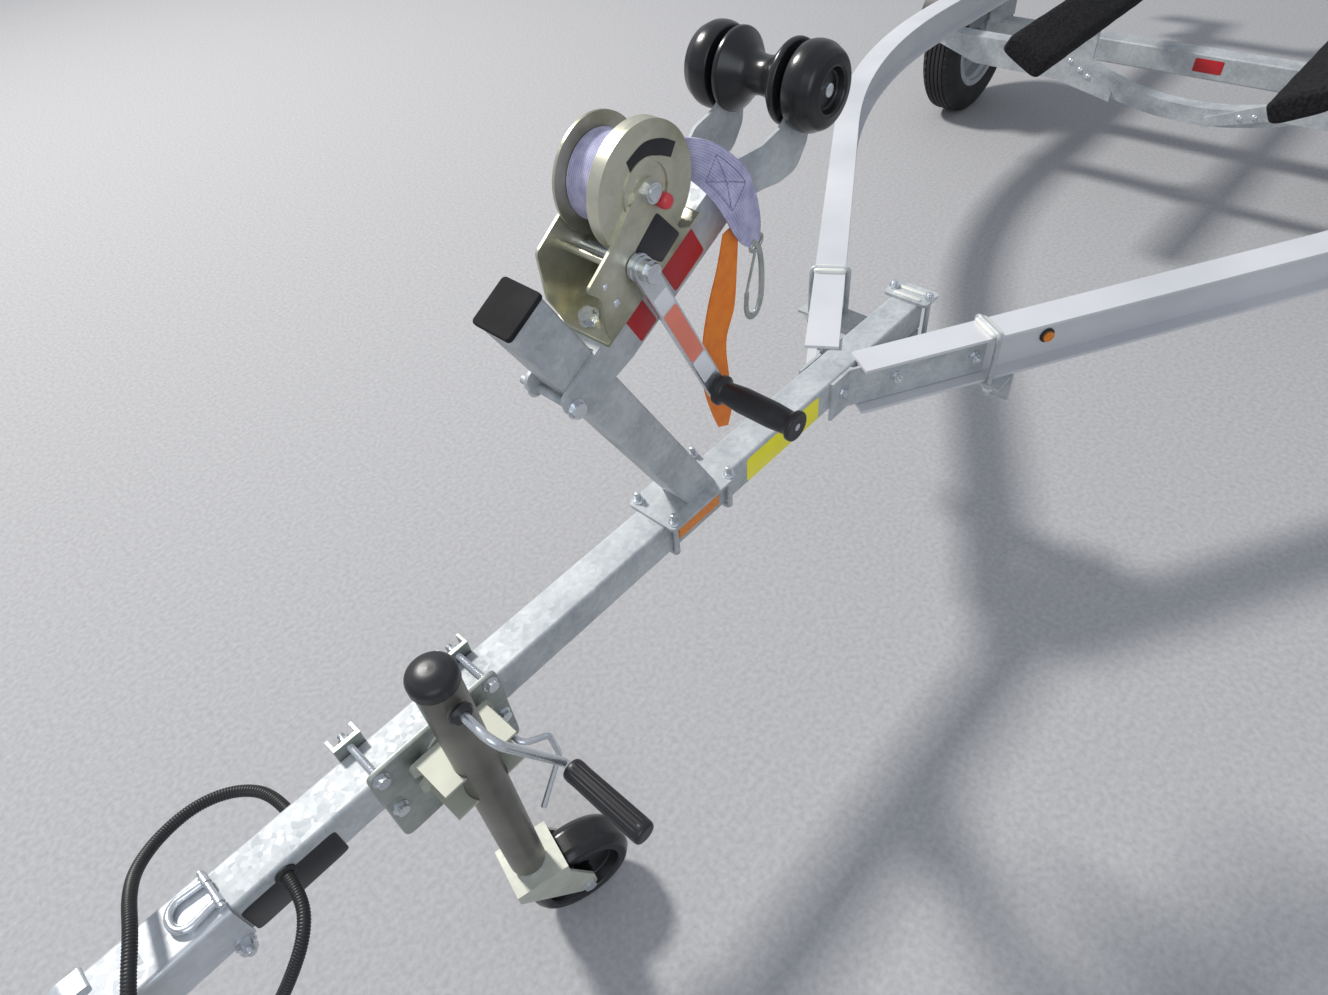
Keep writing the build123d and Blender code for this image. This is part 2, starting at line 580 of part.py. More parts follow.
# Winch crank: axle with its pinion, flat bar leaning outward and free grip
BAR_WIDE = 30
swing = radians(CRANK_ANGLE)
crank_dir = Vector(-sin(swing), 0, -cos(swing))
hub = at(CRANK_S, CRANK_T)
bar_start = hub + Vector(0, CRANK_IN, 0)
crank_end = hub + crank_dir * CRANK_LENGTH + Vector(0, CRANK_OUT, 0)
bar_dir = (crank_end - bar_start).normalized()
bar_normal = Vector(0, 1, 0).cross(bar_dir).cross(bar_dir) * -1
crank_plane = Plane(origin=(bar_start + crank_end) / 2, x_dir=bar_dir, z_dir=bar_normal)
bar_shape = SlotOverall((crank_end - bar_start).length + BAR_WIDE, BAR_WIDE)
crank_bar = extrude(crank_plane * bar_shape, amount=3, both=True)
crank = bar(hub + Vector(0, FAR_PLATE_Y - 6, 0), hub + Vector(0, CRANK_IN + 18, 0), HUB_RADIUS)
crank += bar(hub + Vector(0, NEAR_PLATE_Y + PLATE + 4, 0), hub + Vector(0, CRANK_IN + 12, 0), 13)
crank += crank_bar
crank += bar(crank_end, crank_end + Vector(0, WINCH_GRIP_LENGTH + 6, 0), 5)
crank += pinion
save("winch_crank", crank)
grip = turned(
    [(5 + RUN, 0), (21, 0, 2), (21, 7, 2), (15, 11, 6), (WINCH_GRIP_RADIUS, 40, 60), (WINCH_GRIP_RADIUS, 90, 60),
     (16, WINCH_GRIP_LENGTH - 12, 8), (21, WINCH_GRIP_LENGTH - 7, 2), (21, WINCH_GRIP_LENGTH, 3),
     (5 + RUN, WINCH_GRIP_LENGTH)], crank_end + Vector(0, 6, 0))
save("winch_grip", grip)


# Strap tail off the drum, folded over the arm's near edge, its snap hook and the tie-down strap
TAIL_S = DRUM_S + STRAP_RADIUS + 1.5
TAIL_Y = (-26, 15)
PANEL_Y = 56
PANEL_THICK = 4
tail = arm_plate(
    [(TAIL_S, DRUM_T), (TAIL_S + 3, DRUM_T), (TAIL_S + 6, 34, 30), (286, 3.5), (284, 0.5), (TAIL_S + 2, 33, 30)],
    TAIL_Y[0], TAIL_Y[1] - TAIL_Y[0])
tail += arm_plate([(276, 0.5), (318, -2.4), (318, 0.6), (276, 3.5)], TAIL_Y[0], PANEL_Y + 2 - TAIL_Y[0])
tail += arm_plate(
    [(262, 3.5, 3), (318, 0.6, 3), (314, -24, 40), (306, -66, 60), (292, -102, 14), (266, -106, 14), (256, -66, 80)],
    PANEL_Y, PANEL_THICK)
save("webbing_tail", tail)
HOOK_ROD = 4.5
hook_y = PANEL_Y + PANEL_THICK + GAP + HOOK_ROD
hook_route = [(1262, 960), (1242, 930), (1246, 850), (1276, 846), (1272, 925)]
hook = bent_rod([(x, hook_y, z) for x, z in hook_route], [9, 10, 10], HOOK_ROD)
save("snap_hook", hook)
TIE_THICK = 2.5
tie = side_plate(
    [(1306, 985, 4), (1276, 990, 4), (1284, 888, 40), (1312, 835, 40), (1301, 705, 40), (1312, 672, 6),
     (1334, 684, 16), (1360, 765, 60), (1358, 850, 60), (1332, 921, 60)],
    PANEL_Y - GAP - TIE_THICK, TIE_THICK)
save("tie_strap", tie)


# Jack mount: plate on the tongue's left side, back plate, two pairs of studs and the pivot boss
MOUNT_X = JACK_X + MOUNT_FORWARD
MOUNT_Y = HALF + 0.2
MOUNT_THICK = 6
BOSS_Y = 48
mount_x = (MOUNT_X - MOUNT_HALF, MOUNT_X + MOUNT_HALF)
mount = side_plate(
    [(mount_x[0], MOUNT_LOW, 8), (mount_x[1], MOUNT_LOW, 8), (mount_x[1], MOUNT_HIGH, 8),
     (mount_x[0], MOUNT_HIGH, 8)],
    MOUNT_Y, MOUNT_THICK)
mount += bar((JACK_X, MOUNT_Y, PIVOT_Z), (JACK_X, BOSS_Y, PIVOT_Z), PIVOT_DISC)
mount += bar((JACK_X, MOUNT_Y, PIVOT_Z), (JACK_X, BOSS_Y + 18, PIVOT_Z), 12)
jack_mount = mount + block(mount_x, (-MOUNT_Y - MOUNT_THICK, -MOUNT_Y), (TONGUE_BOTTOM - 16, TONGUE_TOP + 16))
for x in (MOUNT_X - STUD_X, MOUNT_X + STUD_X):
    for z in (TONGUE_BOTTOM - 8, TONGUE_TOP + 8):
        jack_mount += bar((x, -MOUNT_Y - 24, z), (x, MOUNT_Y + 14, z), BOLT)
save("jack_mount", jack_mount)


# Jack tube: outer tube in its pressed pivot bracket, and the gear boss that the crank turns in
BRACKET_HALF = 66
BRACKET_RISE = 34
BRACKET_THICK = 6
bracket_y = BOSS_Y + GAP
jack_tube = ring((JACK_X, JACK_Y, JACK_BOTTOM), (JACK_X, JACK_Y, JACK_TOP), JACK_TUBE, JACK_TUBE - JACK_WALL)
bracket = side_plate(
    [(JACK_X + i * BRACKET_HALF, PIVOT_Z + k * BRACKET_RISE, 8) for i, k in ((-1, -1), (1, -1), (1, 1), (-1, 1))],
    bracket_y, BRACKET_THICK)
for end in (-1, 1):
    notch_x = JACK_X + end * BRACKET_HALF
    bracket -= bar((notch_x, bracket_y - 1, PIVOT_Z), (notch_x, bracket_y + BRACKET_THICK + 1, PIVOT_Z), 12)
    shelf_z = PIVOT_Z + end * (BRACKET_RISE - 2)
    bracket += block(
        (JACK_X - BRACKET_HALF + 8, JACK_X + BRACKET_HALF - 8), (bracket_y, JACK_Y + 16), (shelf_z - 2, shelf_z + 2))
bracket_z = (PIVOT_Z - BRACKET_RISE + 1, PIVOT_Z + BRACKET_RISE - 1)
bracket += block((JACK_X - 22, JACK_X + 22), (bracket_y, JACK_Y), bracket_z)
bracket -= bar((JACK_X, JACK_Y, JACK_BOTTOM), (JACK_X, JACK_Y, JACK_TOP), JACK_TUBE - 1)
bracket -= bar((JACK_X, BOSS_Y, PIVOT_Z), (JACK_X, BOSS_Y + 19, PIVOT_Z), 12 + RUN)
crank_boss_y = JACK_Y + JACK_TUBE
jack_tube += bracket
jack_tube += bar((JACK_X, crank_boss_y - 2, JACK_CRANK_Z), (JACK_X, crank_boss_y + 6, JACK_CRANK_Z), 13)
jack_tube -= bar((JACK_X, JACK_Y, JACK_CRANK_Z), (JACK_X, JACK_Y + 50, JACK_CRANK_Z), 6 + RUN)
save("jack_tube", jack_tube)

CAP_WALL = 2.5
CAP_SKIRT = 12
cap_corners = [
    (0, 0), (JACK_TUBE + RUN, 0), (JACK_TUBE + RUN, -CAP_SKIRT), (JACK_TUBE + CAP_WALL, -CAP_SKIRT),
    (JACK_TUBE + CAP_WALL, 6, 12), (14, 14, 30), (0, 15),
]
cap_face = outline(cap_corners, lambda r, z: Vector(JACK_X + r, JACK_Y, JACK_TOP + z))
save("jack_cap", revolve(cap_face, axis=Axis((JACK_X, JACK_Y, JACK_TOP), (0, 0, 1))))

pull_pin = bent_rod(
    [(JACK_X - 54, bracket_y + BRACKET_THICK, PIVOT_Z + 20), (JACK_X - 54, JACK_Y + 27, PIVOT_Z + 20),
     (JACK_X - 92, JACK_Y + 31, PIVOT_Z - 6), (JACK_X - 97, JACK_Y + 31, PIVOT_Z - 66),
     (JACK_X - 46, JACK_Y + 31, PIVOT_Z - 150)],
    [14, 14, 24], 4.5,
)
save("pull_pin", pull_pin)


# Jack crank: shaft out of the tube's side, an arm down and back, and a ribbed grip
CRANK_ROD = 6
jack_swing = radians(JACK_CRANK_ANGLE)
shaft_end = Vector(JACK_X, JACK_Y + JACK_CRANK_OUT, JACK_CRANK_Z)
jack_arm_end = shaft_end + Vector(-sin(jack_swing), 0, -cos(jack_swing)) * JACK_CRANK_LENGTH
COLLAR = 12
grip_end = jack_arm_end + Vector(0, JACK_GRIP_LENGTH + COLLAR, 0)
jack_crank = bent_rod([(JACK_X, JACK_Y + 8, JACK_CRANK_Z), shaft_end, jack_arm_end, grip_end], [22, 10], CRANK_ROD)
save("jack_crank", jack_crank)
jack_grip = turned(
    [(CRANK_ROD + RUN, 0), (JACK_GRIP_RADIUS - 3, 0, 3), (JACK_GRIP_RADIUS, 14, 20),
     (JACK_GRIP_RADIUS, JACK_GRIP_LENGTH - 14, 20), (JACK_GRIP_RADIUS - 3, JACK_GRIP_LENGTH + 6, 5),
     (0, JACK_GRIP_LENGTH + 6), (0, JACK_GRIP_LENGTH + RUN), (CRANK_ROD + RUN, JACK_GRIP_LENGTH + RUN)],
    jack_arm_end + Vector(0, COLLAR, 0))
save("jack_grip", jack_grip)


# Inner leg with its swivel stem
STEM = 9
STEM_LENGTH = 16
leg = bar((JACK_X, JACK_Y, FORK_TOP + GAP), (JACK_X, JACK_Y, JACK_TOP - 133), LEG_RADIUS)
leg += bar((JACK_X, JACK_Y, FORK_TOP + 2 - STEM_LENGTH), (JACK_X, JACK_Y, FORK_TOP + 2), STEM)
save("jack_leg", leg)


# Fork and jockey wheel, trailing to the rear and turned a little about the leg
JOCKEY_X = JACK_X - JOCKEY_TRAIL
AXLE_BOLT = 8
castor = Pos(JACK_X, JACK_Y, 0) * Rot(0, 0, -CASTOR) * Pos(-JACK_X, -JACK_Y, 0)
fork_in = FORK_WIDTH / 2 - FORK_WALL
fork_x = (JACK_X - FORK_LENGTH / 2 - 4, JACK_X + FORK_LENGTH / 2 - 4)
fork = block(fork_x, (JACK_Y - FORK_WIDTH / 2, JACK_Y + FORK_WIDTH / 2), (FORK_TOP - FORK_WALL, FORK_TOP))
cheek = [
    (fork_x[1], FORK_TOP), (fork_x[1], FORK_TOP - 24, 12), (JOCKEY_X + 13, JOCKEY_RADIUS - 16, 12),
    (JOCKEY_X - 15, JOCKEY_RADIUS - 16, 12), (JOCKEY_X - 14, JOCKEY_RADIUS + 18, 20), (fork_x[0], FORK_TOP - 22, 16),
    (fork_x[0], FORK_TOP),
]
for y in (JACK_Y - FORK_WIDTH / 2, JACK_Y + fork_in):
    fork += side_plate(cheek, y, FORK_WALL)
fork -= bar((JACK_X, JACK_Y, FORK_TOP - 20), (JACK_X, JACK_Y, FORK_TOP + 20), STEM + RUN)
fork += bar((JOCKEY_X, JACK_Y - 50, JOCKEY_RADIUS), (JOCKEY_X, JACK_Y + 50, JOCKEY_RADIUS), AXLE_BOLT)
save("jack_fork", castor * fork)

jockey_half = JOCKEY_WIDTH / 2
hub_half = fork_in - 4
WEB_HALF = 10
jockey_side = [
    (16, hub_half, 2), (16, WEB_HALF, 4), (58, WEB_HALF, 4), (64, jockey_half, 4), (79, jockey_half, 8),
    (JOCKEY_RADIUS, jockey_half - 12, 14),
]
jockey_corners = [(AXLE_BOLT + RUN, hub_half)] + jockey_side
jockey_corners += [(r, -y, fillet_r) for r, y, fillet_r in reversed(jockey_side)] + [(AXLE_BOLT + RUN, -hub_half)]
jockey = turned(jockey_corners, Vector(JOCKEY_X, JACK_Y, JOCKEY_RADIUS))
save("jockey_wheel", castor * jockey)


# Drop crossmember: a sagging channel in the middle, bolted behind the webs of two arms under the beams
def cross_plate(corners, x, wide):
    """Piece across the trailer with an outline of (y, z, radius) corners, from x towards +X."""
    face = outline(corners, lambda y, z: Vector(x, y, z))
    return extrude(face, amount=wide, dir=(1, 0, 0))


ARM_TIP_Y = BEAM_Y + BEAM_FLANGE / 2
drop_top = BEAM_BOTTOM - 0.2
drop_x = (DROP_CROSS_X - DROP_WIDTH / 2, DROP_CROSS_X + DROP_WIDTH / 2)
channel = block(drop_x, (-1, 0), (SAG_LOW - SAG_DEPTH, SAG_LOW)).faces().sort_by(Axis.Y)[-1]
channel -= Pos(-DROP_WALL, 0, 0) * block(
    drop_x, (-2, 1), (SAG_LOW - SAG_DEPTH + DROP_WALL, SAG_LOW - DROP_WALL))
sag_axis = Axis((0, 0, SAG_LOW + SAG_RADIUS), (1, 0, 0))
sag_angle = degrees(asin(SAG_HALF / SAG_RADIUS))
middle = revolve(channel.rotate(sag_axis, -sag_angle), axis=sag_axis, revolution_arc=2 * sag_angle)
arms = []
# Columns: side, inner end, length of the sloping end, its upper and lower edge below the beams
for side, reach, slope_run, end_high, end_low in ((1, 63, 267, 115, 145), (-1, 224, 180, 95, 125)):
    web_corners = [
        (ARM_TIP_Y, drop_top), (reach + slope_run, drop_top, 40), (reach, drop_top - end_high),
        (reach, drop_top - end_low), (reach + 184, drop_top - 88, 60), (700, drop_top - 85, 60),
        (ARM_TIP_Y, drop_top - 40),
    ]
    piece = cross_plate([(side * c[0], *c[1:]) for c in web_corners], drop_x[1] + GAP, DROP_WALL)
    shelf_y = sorted((side * (SAG_HALF + 30), side * ARM_TIP_Y))
    piece += block((drop_x[0], drop_x[1] + GAP + DROP_WALL), shelf_y, (drop_top - DROP_WALL, drop_top))
    arms.append(piece)
save("drop_cross", *arms, middle)


# Rear crossmember: straight channel below the beams near their ends
rear_cross = cross_plate(
    [(ARM_TIP_Y, drop_top), (-ARM_TIP_Y, drop_top), (-ARM_TIP_Y, drop_top - REAR_CROSS_DEPTH),
     (ARM_TIP_Y, drop_top - REAR_CROSS_DEPTH)], REAR_CROSS_X - 20, 40)
rear_cross -= block(
    (REAR_CROSS_X - 15, REAR_CROSS_X + 25), (-ARM_TIP_Y - 10, ARM_TIP_Y + 10),
    (drop_top - REAR_CROSS_DEPTH + 5, drop_top - 5))
save("rear_cross", rear_cross)


# Axle: square tube with risers up to the beams, trailing arms and spindles
AXLE_HALF = AXLE_SIZE / 2
AXLE_END = BEAM_Y + BEAM_FLANGE / 2 + 6
ARM_PLATE_Y = AXLE_END + 10
axle_x = (AXLE_X - AXLE_HALF, AXLE_X + AXLE_HALF)
axle_tube = block(axle_x, (-AXLE_END, AXLE_END), (AXLE_Z - AXLE_HALF, AXLE_Z + AXLE_HALF))
axle_tube = fillet(axle_tube.edges().filter_by(Axis.Y), TONGUE_CORNER)
axle_inner = AXLE_HALF - 5
axle_tube -= block(
    (AXLE_X - axle_inner, AXLE_X + axle_inner), (-AXLE_END, AXLE_END), (AXLE_Z - axle_inner, AXLE_Z + axle_inner))
riser = block(
    (AXLE_X - 90, AXLE_X + 90), (BEAM_Y - BEAM_FLANGE / 2, BEAM_Y + BEAM_FLANGE / 2),
    (drop_top - 8, drop_top))
riser += block(
    (AXLE_X - 60, AXLE_X + 60), (BEAM_Y - 20, BEAM_Y + 20),
    (AXLE_Z + AXLE_HALF, drop_top - 8))
for piece in both(riser):
    axle_tube += piece
save("axle_tube", axle_tube)

swing_arm = extrude(
    Plane(origin=(AXLE_X, ARM_PLATE_Y, AXLE_Z), x_dir=(1, 0, 0), z_dir=(0, 1, 0))
    * make_hull(
        Circle(26).edges()
        + (Pos(HUB_X - AXLE_X, -(TYRE_RADIUS - AXLE_Z)) * Circle(20)).edges()
    ),
    amount=14)
core = axle_inner - GAP
swing_arm += block((AXLE_X - core, AXLE_X + core), (AXLE_END - 45, AXLE_END + 0.2), (AXLE_Z - core, AXLE_Z + core))
swing_arm += bar((AXLE_X, AXLE_END, AXLE_Z), (AXLE_X, ARM_PLATE_Y, AXLE_Z), 24)
SPINDLE = 15
spindle = bar((HUB_X, ARM_PLATE_Y, TYRE_RADIUS), (HUB_X, TRACK_HALF + 20, TYRE_RADIUS), SPINDLE)
save("axle_arms", *both(swing_arm + spindle))


# Road wheels: dished rims with their hubs, and tyres
RIM_HALF = 56


def rim(side):
    """Rim with dished disc, hub and dust cap; side is +1 on the left."""
    outer = [
        (SPINDLE + RUN, -66), (36, -66), (36, -16), (68, -8), (96, 6), (124, -2), (136, -2), (136, -34),
        (146, -46), (146, -RIM_HALF - 3), (166, -RIM_HALF - 3), (166, -RIM_HALF), (150, -RIM_HALF), (150, -44),
        (140, -33), (140, 36), (150, 46), (150, RIM_HALF), (166, RIM_HALF), (166, RIM_HALF + 3),
        (146, RIM_HALF + 3), (146, 48), (136, 38), (136, 4), (124, 4), (96, 12), (68, -2), (36, 2), (30, 40),
        (0, 44), (0, 26), (SPINDLE + RUN, 26),
    ]
    flipped = [(r, side * y) for r, y in outer]
    return turned(flipped, Vector(HUB_X, side * TRACK_HALF, TYRE_RADIUS))


def tyre(side):
    """Tyre with rounded shoulders and side walls, seated on its rim."""
    half = TYRE_WIDTH / 2
    bead = RIM_HALF - GAP
    right = [
        (150 + GAP, bead - 14), (150 + GAP, bead), (166 + GAP, bead), (170, bead + 5), (190, half - 2), (215, half),
        (240, half - 7), (254, half - 16), (TYRE_RADIUS, half - 34),
    ]
    inside = [(250, half - 36), (238, half - 22), (214, half - 12), (186, half - 14), (166, bead - 14)]
    points = [(r, -y) for r, y in right] + [(r, y) for r, y in reversed(right)]
    points += [(r, y) for r, y in reversed(inside)] + [(r, -y) for r, y in inside]
    return turned(points, Vector(HUB_X, side * TRACK_HALF, TYRE_RADIUS))


for name, side in (("left", 1), ("right", -1)):
    save(f"rim_{name}", rim(side))
    save(f"tyre_{name}", tyre(side))


# Bunks: carpeted boards beside the keel, tilted inward, on posts from the two crossmembers
BUNK_Y = 348
BUNK_Z = 572
BUNK_TILT = 28
BUNK_WIDE = 135
BUNK_THICK = 60
tilt = radians(BUNK_TILT)
bunk_plane = Plane(origin=(BUNK_REAR_X, BUNK_Y, BUNK_Z), x_dir=(0, cos(tilt), sin(tilt)), z_dir=(1, 0, 0))
bunk_box = extrude(bunk_plane * Rectangle(BUNK_WIDE, BUNK_THICK), amount=BUNK_FRONT_X - BUNK_REAR_X)
bunk_box = fillet(bunk_box.edges().filter_by(Axis.X), 14)
save("bunks", *both(bunk_box))

holders = []
# Columns: crossmember's place, top of the bracket's foot below the beams
for x, foot_drop in ((DROP_CROSS_X, 26), (REAR_CROSS_X, 0)):
    foot_z = drop_top - foot_drop
    stem = block((x - 6, x + 6), (BUNK_Y - 22, BUNK_Y + 22), (foot_z - 40, BUNK_Z + 60))
    stem = Pos(-DROP_WIDTH / 2 - 6.5, 0, 0) * stem
    under = Plane(origin=(x - 30, BUNK_Y, BUNK_Z), x_dir=(0, cos(tilt), sin(tilt)), z_dir=(1, 0, 0))
    clear = extrude(under * Pos(0, 100) * Rectangle(400, 200 + BUNK_THICK + 2 * GAP), amount=120, both=True)
    saddle_plate = extrude(under * Pos(0, -BUNK_THICK / 2 - GAP - 3) * Rectangle(90, 6), amount=30, both=True)
    holders.append((stem - clear) + saddle_plate)
bunk_brackets = [piece for holder in holders for piece in both(holder)]
save("bunk_brackets", *bunk_brackets)


# Mudguards: arched sheets over the tyres with a stay down to each beam
GUARD_RADIUS = 320
GUARD_HALF = 75
guard_plane = Plane(origin=(HUB_X, TRACK_HALF - GUARD_HALF, TYRE_RADIUS), x_dir=(1, 0, 0), z_dir=(0, 1, 0))
guard_face = Circle(GUARD_RADIUS) - Circle(GUARD_RADIUS - 4)
guard = extrude(guard_plane * guard_face, amount=2 * GUARD_HALF)
guard = guard & block((HUB_X - 400, HUB_X + 400), (0, 1200), (TYRE_RADIUS + 140, TYRE_RADIUS + 400))
guard_inner = TRACK_HALF - GUARD_HALF
for x in (HUB_X - 130, HUB_X + 90):
    stay = block((x, x + 40), (BEAM_Y - 10, guard_inner + 2), (BEAM_TOP + 0.2, BEAM_TOP + 4.2))
    stay += block((x, x + 40), (guard_inner - 2, guard_inner + 2), (BEAM_TOP + 0.2, TYRE_RADIUS + GUARD_RADIUS))
    guard += stay & extrude(guard_plane * Circle(GUARD_RADIUS - 1), amount=400, both=True)
save("mudguards", *both(guard))


# Lamps: tail lamps on plates at the beams' ends, side markers on the beam webs and tongue reflectors
lamp = block((REAR_X, REAR_X + 40), (BEAM_Y + 40, BEAM_Y + 200), (BEAM_TOP - 90, BEAM_TOP - 10))
lamp = fillet(lamp.edges().group_by(Axis.X)[0], 6)
lamp_arm = block((REAR_X + 40, REAR_X + 46), (BEAM_Y + BEAM_WEB / 2, BEAM_Y + 200), (BEAM_TOP - 70, BEAM_TOP - 30))
reflector = block((FOOT_X - 45, FOOT_X + 55), (HALF + 0.2, HALF + 7), (TONGUE_TOP - 42, TONGUE_TOP - 10))
reflector = fillet(reflector.edges().group_by(Axis.Y)[-1], 3)
web_out = Vector(sin(turn), cos(turn), 0)
marker_foot = nose_point + Vector(-cos(turn), sin(turn), 0) * MARKER_ALONG + web_out * (BEAM_WEB / 2 + GAP)
marker = bar(marker_foot, marker_foot + web_out * 9, 11)
save("lamps", *both(lamp + lamp_arm), *both(reflector), *both(marker))


# Conduit: cable sleeve out of the tongue's left side, down and up in a loop, over the coupling and back in
CONDUIT = 8
conduit_points = [
    (2124, HALF, 523), (2124, 72, 523), (2146, 106, 512), (2188, 120, 482), (2228, 116, 443), (2276, 104, 425),
    (2316, 92, 449), (2332, 82, 499), (2318, 70, 549), (2290, 44, 583), (2264, 4, 594), (2252, -46, 582),
    (2238, -92, 556), (2204, -126, 534), (2154, -136, 524), (2108, -116, 518), (2082, -76, 514), (2082, -HALF, 514),
]
route = [Vector(*p) for p in conduit_points]
conduit_radii = []
for before, here, after in zip(route, route[1:], route[2:]):
    bend = radians((here - before).get_angle(after - here))
    shorter = min((here - before).length, (after - here).length)
    conduit_radii.append(0.45 * shorter / tan(bend / 2))
save("conduit", bent_rod(conduit_points, conduit_radii, CONDUIT))
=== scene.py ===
"""Looks of the boat trailer: finishes, small fittings, soft parts, light and camera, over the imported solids."""
from math import cos, pi, radians, sin

import bmesh
import bpy
import numpy as np
from mathutils import Matrix, Vector


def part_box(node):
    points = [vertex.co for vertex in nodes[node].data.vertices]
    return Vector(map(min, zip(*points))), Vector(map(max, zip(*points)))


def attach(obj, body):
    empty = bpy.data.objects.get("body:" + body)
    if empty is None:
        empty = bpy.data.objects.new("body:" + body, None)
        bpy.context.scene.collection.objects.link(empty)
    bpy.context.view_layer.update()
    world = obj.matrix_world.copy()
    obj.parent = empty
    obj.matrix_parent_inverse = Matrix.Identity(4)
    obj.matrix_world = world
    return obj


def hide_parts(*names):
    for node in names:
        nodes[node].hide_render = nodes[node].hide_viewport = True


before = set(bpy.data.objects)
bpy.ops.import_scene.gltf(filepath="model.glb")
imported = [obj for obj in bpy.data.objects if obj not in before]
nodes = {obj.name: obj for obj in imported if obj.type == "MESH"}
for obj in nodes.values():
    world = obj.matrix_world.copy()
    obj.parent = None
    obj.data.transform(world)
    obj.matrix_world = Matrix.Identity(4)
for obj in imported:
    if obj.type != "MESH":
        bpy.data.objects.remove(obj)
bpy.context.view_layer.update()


# Camera: the photograph's place, about 1.5 m above the ground beside the tongue, looking back and down.
# Its place and angles are a fit of a plain pinhole to the finished model's corners.
PICTURE_WIDTH = 1328
FOCAL_PIXELS = 843.2
SENSOR_WIDTH = 36
CAMERA_PLACE = (2.0354, 0.6837, 1.5202)
LOOK_AZIMUTH = radians(227.54)
LOOK_DOWN = radians(45.97)
LOOK_ROLL = radians(-7.10)
look = Vector((cos(LOOK_AZIMUTH) * cos(LOOK_DOWN), sin(LOOK_AZIMUTH) * cos(LOOK_DOWN), -sin(LOOK_DOWN)))
level = look.cross(Vector((0, 0, 1))).normalized()
rise = level.cross(look)
right = level * cos(LOOK_ROLL) + rise * sin(LOOK_ROLL)
above = rise * cos(LOOK_ROLL) - level * sin(LOOK_ROLL)


def show(name, data):
    """New object in the scene with the given data."""
    made = bpy.data.objects.new(name, data)
    bpy.context.scene.collection.objects.link(made)
    return made


camera = show("camera", bpy.data.cameras.new("camera"))
camera.data.sensor_fit = "HORIZONTAL"
camera.data.sensor_width = SENSOR_WIDTH
camera.data.lens = SENSOR_WIDTH * FOCAL_PIXELS / PICTURE_WIDTH
camera.data.clip_end = 100
camera.matrix_world = Matrix.Translation(CAMERA_PLACE) @ Matrix((right, above, -look)).transposed().to_4x4()
bpy.context.scene.camera = camera
bpy.context.scene.view_settings.view_transform = "Standard"


# Conduit: black corrugated sleeve for the lamp cable. It leaves the tongue's left side through a grommet,
# hangs down in a loop, crosses over the coupling and goes back into the tongue on the right.
SLEEVE_RADIUS = 0.008
RIB_PITCH = 0.0035
RIB_DEPTH = 0.0007
RINGS_PER_RIB = 6
NEVER_ALONG = (-0.17, 0.47, 0.87)
TONGUE_SIDE = 0.03175
conduit_route = [
    (2.124, TONGUE_SIDE, 0.523), (2.124, 0.072, 0.523), (2.146, 0.106, 0.512), (2.188, 0.120, 0.482),
    (2.228, 0.116, 0.443), (2.276, 0.104, 0.425), (2.316, 0.092, 0.449), (2.332, 0.082, 0.499),
    (2.318, 0.070, 0.549), (2.290, 0.044, 0.583), (2.264, 0.004, 0.594), (2.252, -0.046, 0.582),
    (2.238, -0.092, 0.556), (2.204, -0.126, 0.534), (2.154, -0.136, 0.524), (2.108, -0.116, 0.518),
    (2.082, -0.076, 0.514), (2.082, -TONGUE_SIDE, 0.514),
]


def unit(vectors):
    """Vectors scaled to length one along their last axis."""
    vectors = np.asarray(vectors, float)
    return vectors / np.linalg.norm(vectors, axis=-1, keepdims=True)


def turn(count):
    """Angles spread evenly over a full turn."""
    return np.linspace(0, 2 * pi, count, endpoint=False)


def distances(line):
    """Distance along a line from its start to each of its points."""
    return np.r_[0, np.cumsum(np.linalg.norm(np.diff(line, axis=0), axis=1))]


def nurbs_line(points):
    """Points along the smooth quadratic NURBS line that has the given points as its controls."""
    data = bpy.data.curves.new("line", "CURVE")
    data.dimensions = "3D"
    data.resolution_u = 24
    spline = data.splines.new("NURBS")
    spline.points.add(len(points) - 1)
    spline.points.foreach_set("co", np.c_[points, np.ones(len(points))].ravel())
    spline.order_u = 3
    spline.use_endpoint_u = True
    carrier = bpy.data.objects.new("line", data)
    mesh = bpy.data.meshes.new_from_object(carrier)
    line = np.empty(3 * len(mesh.vertices))
    mesh.vertices.foreach_get("co", line)
    bpy.data.objects.remove(carrier)
    bpy.data.meshes.remove(mesh)
    return line.reshape(-1, 3)


def evenly(line, count):
    """Points spread evenly along a line, and their distances from its start."""
    along = distances(line)
    wanted = np.linspace(0, along[-1], count)
    return np.stack([np.interp(wanted, along, line[:, k]) for k in range(3)], axis=1), wanted


def tube(path, radii, steady, columns=16, flat=1.0):
    """Rings square to a path: r(cos(a) n + f sin(a) m), with n across the steady direction and m near it."""
    ahead = unit(np.gradient(path, axis=0))
    across = unit(np.cross(ahead, steady))
    third = np.cross(ahead, across)
    angle = turn(columns)[None, :, None]
    spread = np.cos(angle) * across[:, None] + flat * np.sin(angle) * third[:, None]
    return path[:, None] + np.broadcast_to(radii, len(path))[:, None, None] * spread


def skin(rings, loop=False):
    """Points and faces of a closed skin over rings (rows, columns, 3); a loop joins the last ring to the first."""
    rows, columns = rings.shape[:2]
    index = np.arange(rows * columns).reshape(rows, columns)
    below = index if loop else index[:-1]
    over = np.roll(index, -1, axis=0) if loop else index[1:]
    faces = np.stack([below, np.roll(below, -1, 1), np.roll(over, -1, 1), over], axis=-1).reshape(-1, 4).tolist()
    if not loop:
        faces += [index[0, ::-1].tolist(), index[-1].tolist()]
    return rings.reshape(-1, 3), faces


